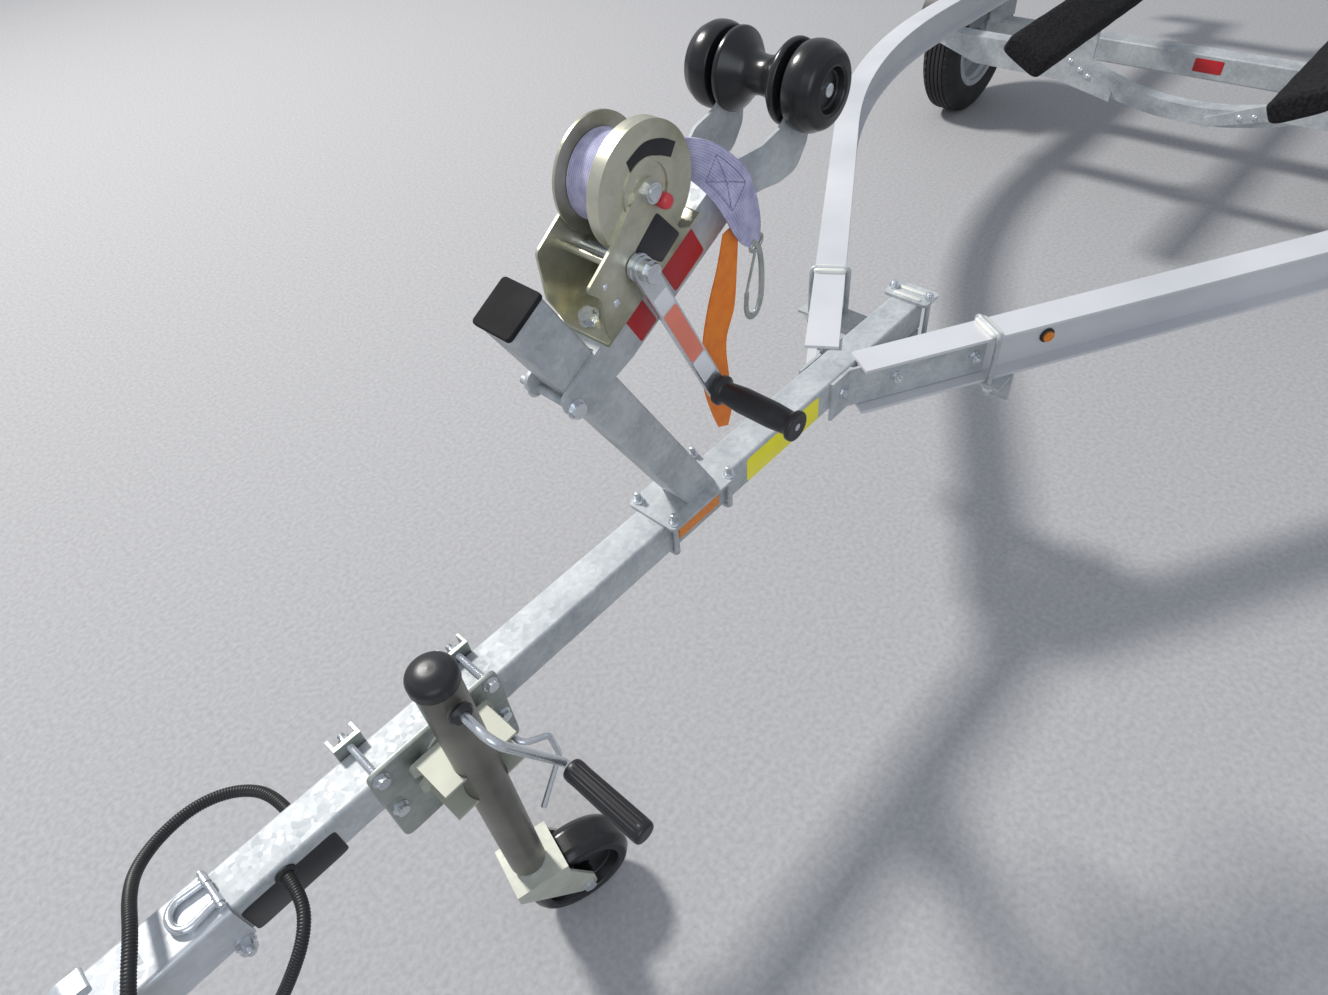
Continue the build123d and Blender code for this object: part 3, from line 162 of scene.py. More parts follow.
def piece(name, skins, material, body, replaced=(), sharp=40, weave=None):
    """One object from several closed skins, welded at its poles, with its faces outward and edges past sharp kept."""
    points, faces, start = [], [], 0
    for skin_points, skin_faces in skins:
        points.append(skin_points)
        faces += [[corner + start for corner in face] for face in skin_faces]
        start += len(skin_points)
    mesh = bpy.data.meshes.new(name)
    mesh.from_pydata(np.concatenate(points), [], faces)
    if weave is not None:
        layer = mesh.attributes.new("weave", "FLOAT_VECTOR", "POINT")
        layer.data.foreach_set("vector", weave.ravel())
    shape = bmesh.new()
    shape.from_mesh(mesh)
    bmesh.ops.remove_doubles(shape, verts=shape.verts, dist=1e-6)
    bmesh.ops.recalc_face_normals(shape, faces=shape.faces)
    shape.to_mesh(mesh)
    shape.free()
    mesh.shade_smooth()
    mesh.set_sharp_from_angle(angle=radians(sharp))
    mesh.materials.append(material)
    made = show(name, mesh)
    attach(made, body)
    if replaced:
        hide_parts(*replaced)
    return made


def finish(name, colour, metallic, roughness):
    """New material with its tree, shader and object coordinates ready for a pattern."""
    material = bpy.data.materials.new(name)
    material.use_nodes = True
    tree = material.node_tree
    shader = tree.nodes["Principled BSDF"]
    shader.inputs["Base Color"].default_value = (*colour, 1)
    shader.inputs["Metallic"].default_value = metallic
    shader.inputs["Roughness"].default_value = roughness
    place = tree.nodes.new("ShaderNodeTexCoord")
    return material, tree, shader, place.outputs["Object"]


def noise(tree, place, scale, detail, rough=0.5):
    """Factor of a noise pattern on a place, with its scale in cycles per metre."""
    node = tree.nodes.new("ShaderNodeTexNoise")
    for socket, value in (("Scale", scale), ("Detail", detail), ("Roughness", rough)):
        node.inputs[socket].default_value = value
    tree.links.new(place, node.inputs["Vector"])
    return node.outputs["Fac"]


def tint(tree, factor, low, high, ends=(0.3, 0.7)):
    """Colour that runs from low to high as the factor passes between the ends."""
    ramp = tree.nodes.new("ShaderNodeValToRGB")
    for element, position, colour in zip(ramp.color_ramp.elements, ends, (low, high)):
        element.position = position
        element.color = (*colour, 1)
    tree.links.new(factor, ramp.inputs["Fac"])
    return ramp.outputs["Color"]


def relief(tree, shader, height, depth, strength=0.5):
    """Bump from a height pattern, with its depth in metres."""
    bump = tree.nodes.new("ShaderNodeBump")
    bump.inputs["Distance"].default_value = depth
    bump.inputs["Strength"].default_value = strength
    tree.links.new(height, bump.inputs["Height"])
    tree.links.new(bump.outputs["Normal"], shader.inputs["Normal"])


def moulded(name, colour, roughness, grain_scale, depth, dusty=1.9, gloss=0.5):
    """Moulded plastic, rubber or film with a fine grain and faint dusty patches."""
    material, tree, shader, place = finish(name, colour, 0.0, roughness)
    dust = noise(tree, place, 14.0, 6.0)
    grain = noise(tree, place, grain_scale, 2.0)
    pale = tuple(min(1.0, c * dusty + 0.006) for c in colour)
    tree.links.new(tint(tree, dust, colour, pale, (0.45, 0.8)), shader.inputs["Base Color"])
    shader.inputs["Specular IOR Level"].default_value = gloss
    relief(tree, shader, grain, depth, 0.4)
    return material


sleeve_line = nurbs_line(conduit_route)
sleeve_length = float(distances(sleeve_line)[-1])
sleeve_path, sleeve_along = evenly(sleeve_line, int(RINGS_PER_RIB * sleeve_length / RIB_PITCH))
sleeve_radii = SLEEVE_RADIUS - RIB_DEPTH * (0.5 + 0.5 * np.cos(2 * pi * sleeve_along / RIB_PITCH)) ** 2
sleeve_plastic = moulded("sleeve_plastic", (0.013, 0.013, 0.014), 0.42, 600.0, 0.0001)
conduit = piece(
    "conduit_sleeve", [skin(tube(sleeve_path, sleeve_radii, NEVER_ALONG))], sleeve_plastic, "frame",
    ["conduit"])


# Rubber grommets where the conduit goes through the tongue's walls: turned rings with a soft lip.
# Angles round a turned piece are counted from a direction that no axis here lies along.
ASKEW = (0.31, 0.17, 0.93)


def turned(profile, place, axis, columns=48, hexagon=()):
    """Rings of a profile of (radius, height) pairs turned about an axis through a place.

    In the rows named in hexagon the radius r becomes r / cos(a - k pi/3), the outline of a hexagon of inradius r.
    """
    profile = np.array(profile, float)
    axis = unit(axis)
    across = unit(np.cross(axis, ASKEW))
    third = np.cross(axis, across)
    angle = turn(columns)
    radii = np.repeat(profile[:, :1], columns, axis=1)
    for row in hexagon:
        radii[row] /= np.cos((angle + pi / 6) % (pi / 3) - pi / 6)
    spread = np.cos(angle)[:, None] * across + np.sin(angle)[:, None] * third
    return place + radii[..., None] * spread + profile[:, 1:, None] * axis


grommet_profile = [(0.0078, 0.0), (0.013, 0.0), (0.0135, 0.002), (0.011, 0.004), (0.0084, 0.005)]
grommet_rubber = moulded("grommet_rubber", (0.012, 0.012, 0.012), 0.6, 500.0, 0.0001)
piece("grommets", [
    skin(turned(grommet_profile, conduit_route[0], (0, 1, 0)), loop=True),
    skin(turned(grommet_profile, conduit_route[-1], (0, -1, 0)), loop=True)], grommet_rubber, "frame")


# Floor and light: a plain grey floor under a soft, slightly blue sky, with one lamp high on the trailer's
# right, where the sun stood, so that tops are bright and left sides lie in a cool shade.
FLOOR_HALF = 40.0
floor_mesh = bpy.data.meshes.new("floor")
floor_mesh.from_pydata(
    [(x * FLOOR_HALF, y * FLOOR_HALF, 0) for x, y in ((-1, -1), (1, -1), (1, 1), (-1, 1))], [], [(0, 1, 2, 3)])
floor_paint, floor_tree, floor_shader, floor_place = finish("floor_paint", (0.40, 0.40, 0.41), 0.0, 0.9)
floor_tones = tint(floor_tree, noise(floor_tree, floor_place, 90.0, 4.0), (0.36, 0.36, 0.37), (0.44, 0.44, 0.45))
floor_tree.links.new(floor_tones, floor_shader.inputs["Base Color"])
floor_shader.inputs["Specular IOR Level"].default_value = 0.0
floor_mesh.materials.append(floor_paint)
show("floor", floor_mesh)

sky = bpy.data.worlds.new("soft_sky")
sky.use_nodes = True
sky.node_tree.nodes["Background"].inputs["Color"].default_value = (0.86, 0.91, 1.0, 1)
sky.node_tree.nodes["Background"].inputs["Strength"].default_value = 0.56
bpy.context.scene.world = sky


def soft_lamp(name, place, target, size, watts, colour):
    """Square lamp at a place, turned to face a target."""
    data = bpy.data.lights.new(name, "AREA")
    data.size = size
    data.energy = watts
    data.color = colour
    lamp = show(name, data)
    lamp.location = place
    lamp.rotation_euler = (Vector(target) - Vector(place)).to_track_quat("-Z", "Y").to_euler()


soft_lamp("key_lamp", (1.6, -6.0, 7.0), (0.6, 0, 0.4), 1.1, 800, (1.0, 0.97, 0.93))
soft_lamp("fill_lamp", (5.0, 4.5, 4.0), (1.2, 0, 0.5), 4.0, 90, (0.88, 0.94, 1.0))


# Tongue, post, arm, crossmembers and axle: steel dipped in molten zinc.
# The zinc froze in small spangles of slightly different greys, with cloudy stains over them.
def blend_colours(tree, factor, first, second):
    """Mix of two colours by a factor, which is a number or a socket."""
    mix = tree.nodes.new("ShaderNodeMix")
    mix.data_type = "RGBA"
    if isinstance(factor, float):
        mix.inputs["Factor"].default_value = factor
    else:
        tree.links.new(factor, mix.inputs["Factor"])
    for source, target in zip((first, second), [socket for socket in mix.inputs if socket.type == "RGBA"]):
        tree.links.new(source, target)
    return [socket for socket in mix.outputs if socket.type == "RGBA"][0]


def roughness_from(tree, shader, factor, low, high):
    """Roughness that follows a pattern between two values."""
    spread = tree.nodes.new("ShaderNodeMapRange")
    spread.inputs["To Min"].default_value = low
    spread.inputs["To Max"].default_value = high
    tree.links.new(factor, spread.inputs["Value"])
    tree.links.new(spread.outputs["Result"], shader.inputs["Roughness"])


def cells_of(tree, place, scale):
    """Voronoi cells on a place, with their scale in cells per metre."""
    node = tree.nodes.new("ShaderNodeTexVoronoi")
    node.inputs["Scale"].default_value = scale
    tree.links.new(place, node.inputs["Vector"])
    return node.outputs


def zinc(name, dark, pale, metallic, smooth, rough, cell, cloud_scale=11.0, share=0.65):
    """Zinc with spangles in slightly different tones, cloudy stains and a fine grain."""
    material, tree, shader, place = finish(name, pale, metallic, rough)
    spangle = cells_of(tree, place, cell)
    cloud = noise(tree, place, cloud_scale, 7.0, 0.62)
    grain = noise(tree, place, 260.0, 3.0)
    shade = tree.nodes.new("ShaderNodeSeparateColor")
    tree.links.new(spangle["Color"], shade.inputs["Color"])
    cells = tint(tree, shade.outputs["Red"], dark, pale, (0.0, 1.0))
    stains = tint(tree, cloud, dark, pale, (0.36, 0.6))
    tree.links.new(blend_colours(tree, share, cells, stains), shader.inputs["Base Color"])
    roughness_from(tree, shader, shade.outputs["Green"], smooth, rough)
    relief(tree, shader, grain, 0.0002, 0.25)
    return material


def dress(material, *names):
    """Give one finish to whole CAD nodes."""
    for name in names:
        nodes[name].data.materials.clear()
        nodes[name].data.materials.append(material)


galvanised = zinc("galvanised_steel", (0.33, 0.36, 0.38), (0.54, 0.57, 0.58), 0.22, 0.48, 0.62, 130)
dress(galvanised, "tongue", "front_cross", "frame_plates", "bolts", "post_foot", "winch_post", "winch_arm",
      "rear_cross", "drop_cross", "bunk_brackets", "axle_tube", "axle_arms", "rim_left", "rim_right")


# Labels and plates: thin films with rounded corners, left blank, on the tongue, the arm, the winch and the axle.
# Each is a superellipse |x|^p + |y|^p = 1 spread between its four corners.
FILM = 0.0004
FILM_POWER = 14
AXLE_FRONT = -1.3199


def rectangle(first, second):
    """Four corners of a rectangle in order round it, from its limits along two directions."""
    return [(first[i], second[k]) for i, k in ((0, 0), (1, 0), (1, 1), (0, 1))]


def superellipse(angle, power):
    """The two coordinates of the outline |u|^p + |v|^p = 1 at given angles."""
    return [np.sign(wave) * abs(wave) ** (2 / power) for wave in (np.cos(angle), np.sin(angle))]


def film(corners, thick=FILM, power=FILM_POWER, columns=64):
    """Rings of a thin rounded film between four corners in order: its outline twice, then an inset one on top."""
    corners = np.asarray(corners, float)
    normal = unit(np.cross(corners[1] - corners[0], corners[3] - corners[0]))
    angle = turn(columns) + pi / columns
    rings = []
    for size, rise_share in ((1, 0), (1, 0.6), (0.985, 1)):
        a, b = (0.5 + 0.5 * size * wave[:, None] for wave in superellipse(angle, power))
        near = (1 - a) * corners[0] + a * corners[1]
        far = (1 - a) * corners[3] + a * corners[2]
        rings.append((1 - b) * near + b * far + rise_share * thick * normal)
    return np.array(rings)


label_black = moulded("label_black", (0.010, 0.010, 0.013), 0.30, 300.0, 0.00005)
label_yellow = moulded("label_yellow", (0.90, 0.82, 0.02), 0.35, 300.0, 0.00005, 1.1)
label_red = moulded("label_red", (0.42, 0.012, 0.018), 0.35, 300.0, 0.00005, 1.3)
for name, x_limits, z_limits, material in (
        ("tongue_label_black", (2.185, 2.056), (0.4665, 0.5215), label_black),
        ("tongue_label_yellow", (1.241, 1.034), (0.481, 0.533), label_yellow)):
    piece(name, [skin(film([(x, TONGUE_SIDE, z) for x, z in rectangle(x_limits, z_limits)]))], material, "frame")
piece("axle_label", [skin(film([(AXLE_FRONT, y, z) for y, z in rectangle((-0.104, -0.013), (0.315, 0.357))]))],
      label_red, "frame")


# Nuts, bolt heads and stud ends: bright zinc, pressed on flat washers, with rolled threads on what stands out.
# Those on the beams are placed along and square to the left beam, and mirrored to the right.
WASHER_THICK = 0.0018
THREAD_PITCH = 0.0015
THREAD_DEPTH = 0.0003
BEAM_TOP = 0.5466
BEAM_BOTTOM = 0.445
BEAM_NOSE = np.array([0.9235, 0.0409, (BEAM_TOP + BEAM_BOTTOM) / 2])
BEAM_TURN = radians(31.3)
WEB_OUT = 0.0026
PLATE_OUT = 0.0088
ANGLE_TOP = 0.5462
ANGLE_UNDER = 0.4388
UBOLT_X = 0.698
UBOLT_HALF = 0.0380
DROP_CROSS_FRONT = -0.9387
SIDES = np.array([(1, 1, 1), (1, -1, 1)])
X_AXIS, Y_AXIS, Z_AXIS = np.eye(3)
left_along = np.array([-cos(BEAM_TURN), sin(BEAM_TURN), 0])
left_out = np.array([sin(BEAM_TURN), cos(BEAM_TURN), 0])
ubolt_centre = BEAM_NOSE + left_along * (BEAM_NOSE[0] - UBOLT_X) / cos(BEAM_TURN)


def fastener(place, axis, flats, height, washer=0.0, stud=None):
    """Skin of a washer, a chamfered hexagon and, for a nut, the threaded end of its stud (radius, length)."""
    half = flats / 2
    corner = half / cos(pi / 6)
    base = WASHER_THICK if washer else 0.0
    profile = [(washer, 0), (washer, base)] if washer else []
    first = len(profile)
    profile += [(half, base), (half, base + height * 0.85), (corner * 0.93, base + height)]
    top = base + height
    if stud:
        radius, length = stud
        count = max(2, int(length / THREAD_PITCH * 2))
        profile.append((radius, top))
        profile += [(radius - THREAD_DEPTH * (k % 2), top + length * (k + 1) / (count + 1)) for k in range(count)]
        top += length
        profile.append((radius * 0.8, top))
    profile.append((0, top))
    return skin(turned(profile, place, axis, hexagon=(first, first + 1)))


def dome(place, axis, radius, height):
    """Skin of a button head: height h(1 - 0.8 (r/R)^2), over a straight rim."""
    share = np.linspace(1, 0, 7)
    profile = [(radius, 0)] + [(radius * r, height * (1 - 0.8 * r * r)) for r in share]
    return skin(turned(profile, place, axis, 32))


bright_zinc = zinc("bright_zinc", (0.60, 0.63, 0.67), (0.76, 0.79, 0.82), 0.85, 0.22, 0.34, 160, 22.0)
beam_bolts = [BEAM_NOSE + left_along * along + left_out * PLATE_OUT for along in (0.077, 0.239)]
ubolt_legs = [(ubolt_centre + end * UBOLT_HALF * left_out) * (1, 1, 0) + ANGLE_UNDER * Z_AXIS for end in (-1, 1)]
# Place, axis, width across flats, height, washer's radius, and the stud's radius and length.
left_fasteners = [
    *[(place, left_out, 0.017, 0.0085, 0.0115, (0.0048, 0.006)) for place in beam_bolts],
    *[(place, -Z_AXIS, 0.018, 0.009, 0.013) for place in ubolt_legs],
    *[((x, 0.039, 0.546), Z_AXIS, 0.014, 0.0065, 0.0095, (0.0047, 0.010)) for x in (1.430, 1.297)],
    ((0.965, 0.03795, 0.500), Y_AXIS, 0.017, 0.008, 0.0115),
    ((0.674, 0.040, ANGLE_TOP), Z_AXIS, 0.016, 0.0075, 0.0105, (0.005, 0.004)),
    ((0.674, 0.040, ANGLE_UNDER), -Z_AXIS, 0.016, 0.008, 0.0105)]
frame_nuts = [fastener(place * side, axis * side, *sizes) for side in SIDES for place, axis, *sizes in left_fasteners]
frame_nuts += [
    fastener((2.203, 0.0366, 0.474), Y_AXIS, 0.019, 0.010, 0.013, (0.006, 0.006)),
    fastener((2.203, -0.0366, 0.474), -Y_AXIS, 0.019, 0.010, 0.013),
    fastener((2.226, 0.018, 0.5448), Z_AXIS, 0.010, 0.005, 0.007)]
piece("frame_nuts", frame_nuts, bright_zinc, "frame")
drop_bolts = [dome((DROP_CROSS_FRONT, y, z), X_AXIS, 0.0085, 0.005) for y, z in (
    (-0.404, 0.437), (-0.374, 0.419), (-0.338, 0.397), (-0.308, 0.382), (0.156, 0.347), (0.193, 0.356))]
piece("crossmember_bolts", drop_bolts, bright_zinc, "frame")


# Coupling, shackle, shafts, pins and cranks: plated too, the cast coupling head and its latch more dully.
dress(bright_zinc, "shackle", "roller_shaft", "pull_pin", "jack_crank", "jack_leg", "winch_crank")
coupling_zinc = zinc("coupling_zinc", (0.50, 0.53, 0.56), (0.66, 0.69, 0.72), 0.45, 0.30, 0.42, 120)
dress(coupling_zinc, "coupling_head", "coupling_latch")


# Beams: extruded aluminium I-sections with a white oxide bloom and a fine grain.
# Where the U-bolts cross their tops, cast saddles spread the load.
def aluminium():
    """Pale matt aluminium: a slow noise gives the bloom, a fine one the drawn surface."""
    material, tree, shader, place = finish("mill_aluminium", (0.70, 0.71, 0.73), 0.2, 0.5)
    bloom = noise(tree, place, 4.0, 6.0)
    grain = noise(tree, place, 420.0, 2.0)
    tree.links.new(tint(tree, bloom, (0.57, 0.58, 0.61), (0.69, 0.70, 0.72)), shader.inputs["Base Color"])
    roughness_from(tree, shader, bloom, 0.38, 0.52)
    relief(tree, shader, grain, 0.0002, 0.3)
    return material


mill_aluminium = aluminium()
dress(mill_aluminium, "beam_left", "beam_right")


def block(centre, half_long, half_wide, height, long_way, wide_way, power=5):
    """Skin of a cast lump: superellipse outlines of shrinking size, stacked along Z."""
    u, v = superellipse(turn(40)[:, None], power)
    outline = u * half_long * long_way + v * half_wide * wide_way
    rows = [centre + size * outline + z * height * Z_AXIS for size, z in ((1, 0), (1, 0.55), (0.93, 0.85), (0.78, 1))]
    return skin(np.array(rows))


saddle_place = ubolt_centre * (1, 1, 0) + BEAM_TOP * Z_AXIS
saddles = [block(saddle_place * side, 0.034, 0.013, 0.0085, left_out * side, left_along * side) for side in SIDES]
saddles += [block((x, 0, ANGLE_TOP), 0.005, 0.030, 0.003, X_AXIS, Y_AXIS) for x in (0.667, 0.690)]
cast_zinc = zinc("cast_zinc", (0.62, 0.63, 0.60), (0.78, 0.78, 0.74), 0.3, 0.45, 0.6, 220)
piece("ubolt_saddles", saddles, cast_zinc, "frame")


# Winch post and arm: the post's foot is clamped on the tongue, and the arm's ears are bolted round the post.
# Two blank red labels stand on the arm's left side.
LEAN = radians(28)
BACK = np.array([-cos(LEAN), 0, sin(LEAN)])
UP = np.array([sin(LEAN), 0, cos(LEAN)])
POST_FOOT = np.array([1.353, 0, 0.546])
ARM_REACH = 0.415
ARM_PLACE = POST_FOOT + ARM_REACH * UP
ARM_SIDE = 0.0355


def on_arm(s, t, y):
    """Points in the arm's frame: s behind the post, t above the arm's upper edge, y to the left; arrays allowed."""
    s, t, y = np.broadcast_arrays(s, t, y)
    return ARM_PLACE + s[..., None] * BACK + t[..., None] * UP + y[..., None] * Y_AXIS


arm_labels = [rectangle((0.159, 0.2245), (-0.060, -0.012)), rectangle((0.082, 0.117), (-0.060, -0.005))]
piece("arm_labels", [skin(film([on_arm(s, t, ARM_SIDE) for s, t in corners])) for corners in arm_labels],
      label_red, "frame")
piece("arm_nuts", [
    fastener(on_arm(-0.037, -0.0275, ARM_SIDE), Y_AXIS, 0.019, 0.0075, 0.0135),
    fastener(on_arm(-0.037, -0.0275, -ARM_SIDE), -Y_AXIS, 0.019, 0.011, 0.0145, (0.006, 0.014)),
    fastener(on_arm(0.063, 0.0042, 0), UP, 0.019, 0.0095, 0.014)],
    bright_zinc, "frame")


# Winch: frame and drum in yellow passivated zinc, a red plastic knob, rivets and blank black labels.
# The film of the passivation is thicker in places, so its gold runs to olive.
DRUM = (0.196, 0.094)
NEAR_PLATE = 0.048
GEAR_COVER = 0.0441
gold_zinc = zinc("gold_zinc", (0.30, 0.29, 0.20), (0.62, 0.61, 0.50), 0.75, 0.28, 0.42, 60, 7.0, 0.85)
dress(gold_zinc, "winch_frame", "winch_drum")
piece("winch_nuts", [
    fastener(on_arm(*DRUM, NEAR_PLATE), Y_AXIS, 0.022, 0.008, 0.0, (0.009, 0.003)),
    fastener(on_arm(*DRUM, -NEAR_PLATE), -Y_AXIS, 0.022, 0.006),
    dome(on_arm(0.086, 0.065, NEAR_PLATE), Y_AXIS, 0.0042, 0.0026),
    dome(on_arm(0.085, 0.034, NEAR_PLATE), Y_AXIS, 0.0055, 0.003)], bright_zinc, "frame")
red_plastic = moulded("red_plastic", (0.62, 0.05, 0.06), 0.3, 300.0, 0.0001, 1.3)
knob_profile = [(0.0085, 0), (0.0092, 0.002), (0.0092, 0.009), (0.0078, 0.0125), (0.005, 0.0145), (0, 0.015)]
piece("ratchet_knob", [skin(turned(knob_profile, on_arm(0.203, 0.072, NEAR_PLATE), Y_AXIS))], red_plastic,
      "frame")


def catmull(controls, count):
    """Smooth curve through its control rows, p(u) = sum of the four nearest rows with cubic Catmull-Rom weights."""
    controls = np.asarray(controls, float)
    padded = np.concatenate([2 * controls[:1] - controls[1:2], controls, 2 * controls[-1:] - controls[-2:-1]])
    u = np.linspace(0, len(controls) - 1, count)
    i = np.minimum(u.astype(int), len(controls) - 2)
    f = (u - i).reshape(-1, *[1] * (controls.ndim - 1))
    p0, p1, p2, p3 = (padded[i + k] for k in range(4))
    return 0.5 * (2 * p1 + (p2 - p0) * f + (2 * p0 - 5 * p1 + 4 * p2 - p3) * f ** 2
                  + (3 * p1 - p0 - 3 * p2 + p3) * f ** 3)


def band(outer, inner, y, thick):
    """Skin of a curved plate between two lines of (s, t) in the arm's frame, from y outward."""
    edge = np.concatenate([catmull(outer, 20), catmull(inner, 20)[::-1]])
    middle = edge.mean(axis=0)
    rows = [on_arm(*(middle + k * (edge - middle)).T, y + h) for k, h in ((1, 0), (1, 0.7 * thick), (0.97, thick))]
    return skin(np.array(rows))


label_outer = [(0.193, 0.143), (0.222, 0.139), (0.244, 0.122), (0.258, 0.101)]
label_inner = [(0.190, 0.128), (0.207, 0.127), (0.228, 0.113), (0.243, 0.093)]
piece("winch_labels", [
    band(label_outer, label_inner, GEAR_COVER, FILM),
    skin(film([on_arm(s, t, NEAR_PLATE) for s, t in (
        (0.160, 0.009), (0.201, 0.012), (0.190, 0.066), (0.139, 0.058))]))],
    label_black, "frame")


# Drum webbing: a strap wound in layers between the flanges, with fine lengthwise ribs.
# The radius grows by one thickness over a turn, so the outer layer ends in a small step.
CORE_RADIUS = 0.0245
WOUND_RADIUS = 0.0525
WOUND = (-0.030, 0.019)
LAYER = 0.0014
RIB = 0.0030
RIB_HEIGHT = 0.00025
THREAD = 0.0024


def maths(tree, operation, *values):
    """Result of a math node whose inputs are numbers or sockets."""
    node = tree.nodes.new("ShaderNodeMath")
    node.operation = operation
    for socket, value in zip(node.inputs, values):
        if isinstance(value, (int, float)):
            socket.default_value = value
        else:
            tree.links.new(value, socket)
    return node.outputs["Value"]


def split(tree, vector):
    """X, Y and Z of a vector socket, by name."""
    node = tree.nodes.new("ShaderNodeSeparateXYZ")
    tree.links.new(vector, node.inputs["Vector"])
    return node.outputs


def webbing(name, colour, shade, rib, cross):
    """Woven strap on the piece's own weave coordinates: sin(2 pi y/rib) + 0.6 sin(2 pi x/cross), ribs and threads,
    with painted shade in their troughs.
    """
    material, tree, shader, place = finish(name, colour, 0.0, 0.86)
    weave = tree.nodes.new("ShaderNodeAttribute")
    weave.attribute_name = "weave"
    parts = split(tree, weave.outputs["Vector"])
    ribs, threads = (maths(tree, "SINE", maths(tree, "MULTIPLY", parts[axis], 2 * pi / pitch))
                     for axis, pitch in (("Y", rib), ("X", cross)))
    both = maths(tree, "MULTIPLY_ADD", threads, 0.6, ribs)
    fuzz = noise(tree, place, 60.0, 5.0)
    # The colour follows the weave pattern, darker in the troughs between ribs and threads and lighter on their
    # crests: painted shade and highlight. The bump below gives the real relief.
    painted_rib_shade = tint(tree, both, shade, colour, (0.0, 1.0))
    worn = tint(tree, fuzz, shade, colour, (0.35, 0.62))
    tree.links.new(blend_colours(tree, 0.55, painted_rib_shade, worn), shader.inputs["Base Color"])
    shader.inputs["Sheen Weight"].default_value = 0.15
    relief(tree, shader, both, 0.0003, 0.5)
    return material


# The second colour is the painted shade of the rib troughs, and also the darker end of the random tone.
lilac = webbing("lilac_webbing", (0.58, 0.57, 0.76), (0.30, 0.29, 0.47), RIB, THREAD)
wound_angle = turn(180)
wound_y = np.r_[WOUND[0], np.linspace(*WOUND, 50), WOUND[1]]
wound_radius = WOUND_RADIUS - LAYER + LAYER * wound_angle / (2 * pi)
wound_radii = np.repeat(wound_radius[None], len(wound_y), axis=0)
wound_radii += RIB_HEIGHT * np.cos(2 * pi * wound_y / RIB)[:, None]
wound_radii[[0, -1]] = CORE_RADIUS
wound_rings = on_arm(
    DRUM[0] + wound_radii * np.cos(wound_angle), DRUM[1] + wound_radii * np.sin(wound_angle), wound_y[:, None])
wound_weave = np.stack(np.broadcast_arrays(wound_angle * WOUND_RADIUS, wound_y[:, None], 0.0), axis=-1)
piece("wound_webbing", [skin(wound_rings)], lilac, "drum", ["drum_webbing"], 50, wound_weave)


# Webbing tail: the strap leaves the drum, turns over the arm's left edge and hangs down to the snap hook.
# Its end is folded back through the hook's eye and sewn with a box and a cross.
TAIL_THICK = 0.0032
TAIL_CROWN = 0.003
STITCH = 0.0045
STITCH_RADIUS = 0.00045
STITCH_ENDS = np.array([0.1, 0.5, 0.9])
STITCH_LIFTS = np.array([0.0001, 0.0006, 0.0001])
SEAM_POINTS = 60
tail_outer = [
    (0.2505, 0.112, 0.013), (0.254, 0.094, 0.014), (0.270, 0.078, 0.015), (0.292, 0.060, 0.018),
    (0.309, 0.038, 0.034), (0.316, 0.012, 0.049), (0.317, -0.012, 0.0595), (0.311, -0.050, 0.0625),
    (0.301, -0.084, 0.0625), (0.290, -0.104, 0.0620)]
tail_inner = [
    (0.2505, 0.096, -0.025), (0.252, 0.070, -0.025), (0.256, 0.046, -0.014), (0.266, 0.026, 0.008),
    (0.265, 0.010, 0.030), (0.262, -0.008, 0.048), (0.258, -0.030, 0.0595), (0.257, -0.062, 0.0625),
    (0.262, -0.088, 0.0625), (0.270, -0.104, 0.0620)]


def strap(edge_a, edge_b, thick, crown, rows=120, columns=26):
    """Rings, weave and face of a strap: (1-w) a(v) + w b(v) between two smooth edges, with thickness and crown."""
    a, b = (catmull(edge, rows)[:, None] for edge in (edge_a, edge_b))
    w = np.linspace(0, 1, columns)[None, :, None]
    sheet = (1 - w) * a + w * b
    normal = unit(np.cross(np.gradient(sheet, axis=0), b - a))
    sheet = sheet + crown * np.sin(pi * w) * normal
    face = sheet + 0.5 * thick * normal
    underside = sheet - 0.5 * thick * normal
    rings = np.concatenate([face, underside[:, ::-1]], axis=1)
    middle = sheet[:, columns // 2]
    along = distances(middle)[:, None]
    width = np.linalg.norm(b - a, axis=-1).mean()
    across = np.r_[w.ravel(), w.ravel()[::-1]][None] * width
    return rings, np.stack(np.broadcast_arrays(along, across, 0.0), axis=-1), face


tail_rings, tail_weave, tail_face = strap(
    on_arm(*np.array(tail_inner).T), on_arm(*np.array(tail_outer).T), TAIL_THICK, TAIL_CROWN)
piece("webbing_tail_strap", [skin(tail_rings)], lilac, "frame", ["webbing_tail"], 50, tail_weave)
# Seam corners as rows and columns of the face: round a box, then over its diagonals.
seam_corners = np.array([(56, 5), (56, 20), (80, 20), (80, 5), (56, 5), (80, 20), (80, 5), (56, 20)])
stitches = []
for start, end in zip(seam_corners[:-1], seam_corners[1:]):
    row, column = np.linspace(start, end, SEAM_POINTS).astype(int).T
    seam = evenly(tail_face[row, column], SEAM_POINTS)[0]
    count = max(2, int(distances(seam)[-1] / STITCH))
    outward = unit(seam - tail_rings[row, -1 - column])
    for k in range(count):
        places = ((k + STITCH_ENDS) / count * (SEAM_POINTS - 1)).astype(int)
        lift = STITCH_LIFTS[:, None] * outward[places[1]]
        stitches.append(skin(tube(seam[places] + lift, STITCH_RADIUS, ASKEW, 6)))
thread = moulded("thread", (0.16, 0.15, 0.24), 0.8, 900.0, 0.0001)
piece("tail_stitches", stitches, thread, "frame")


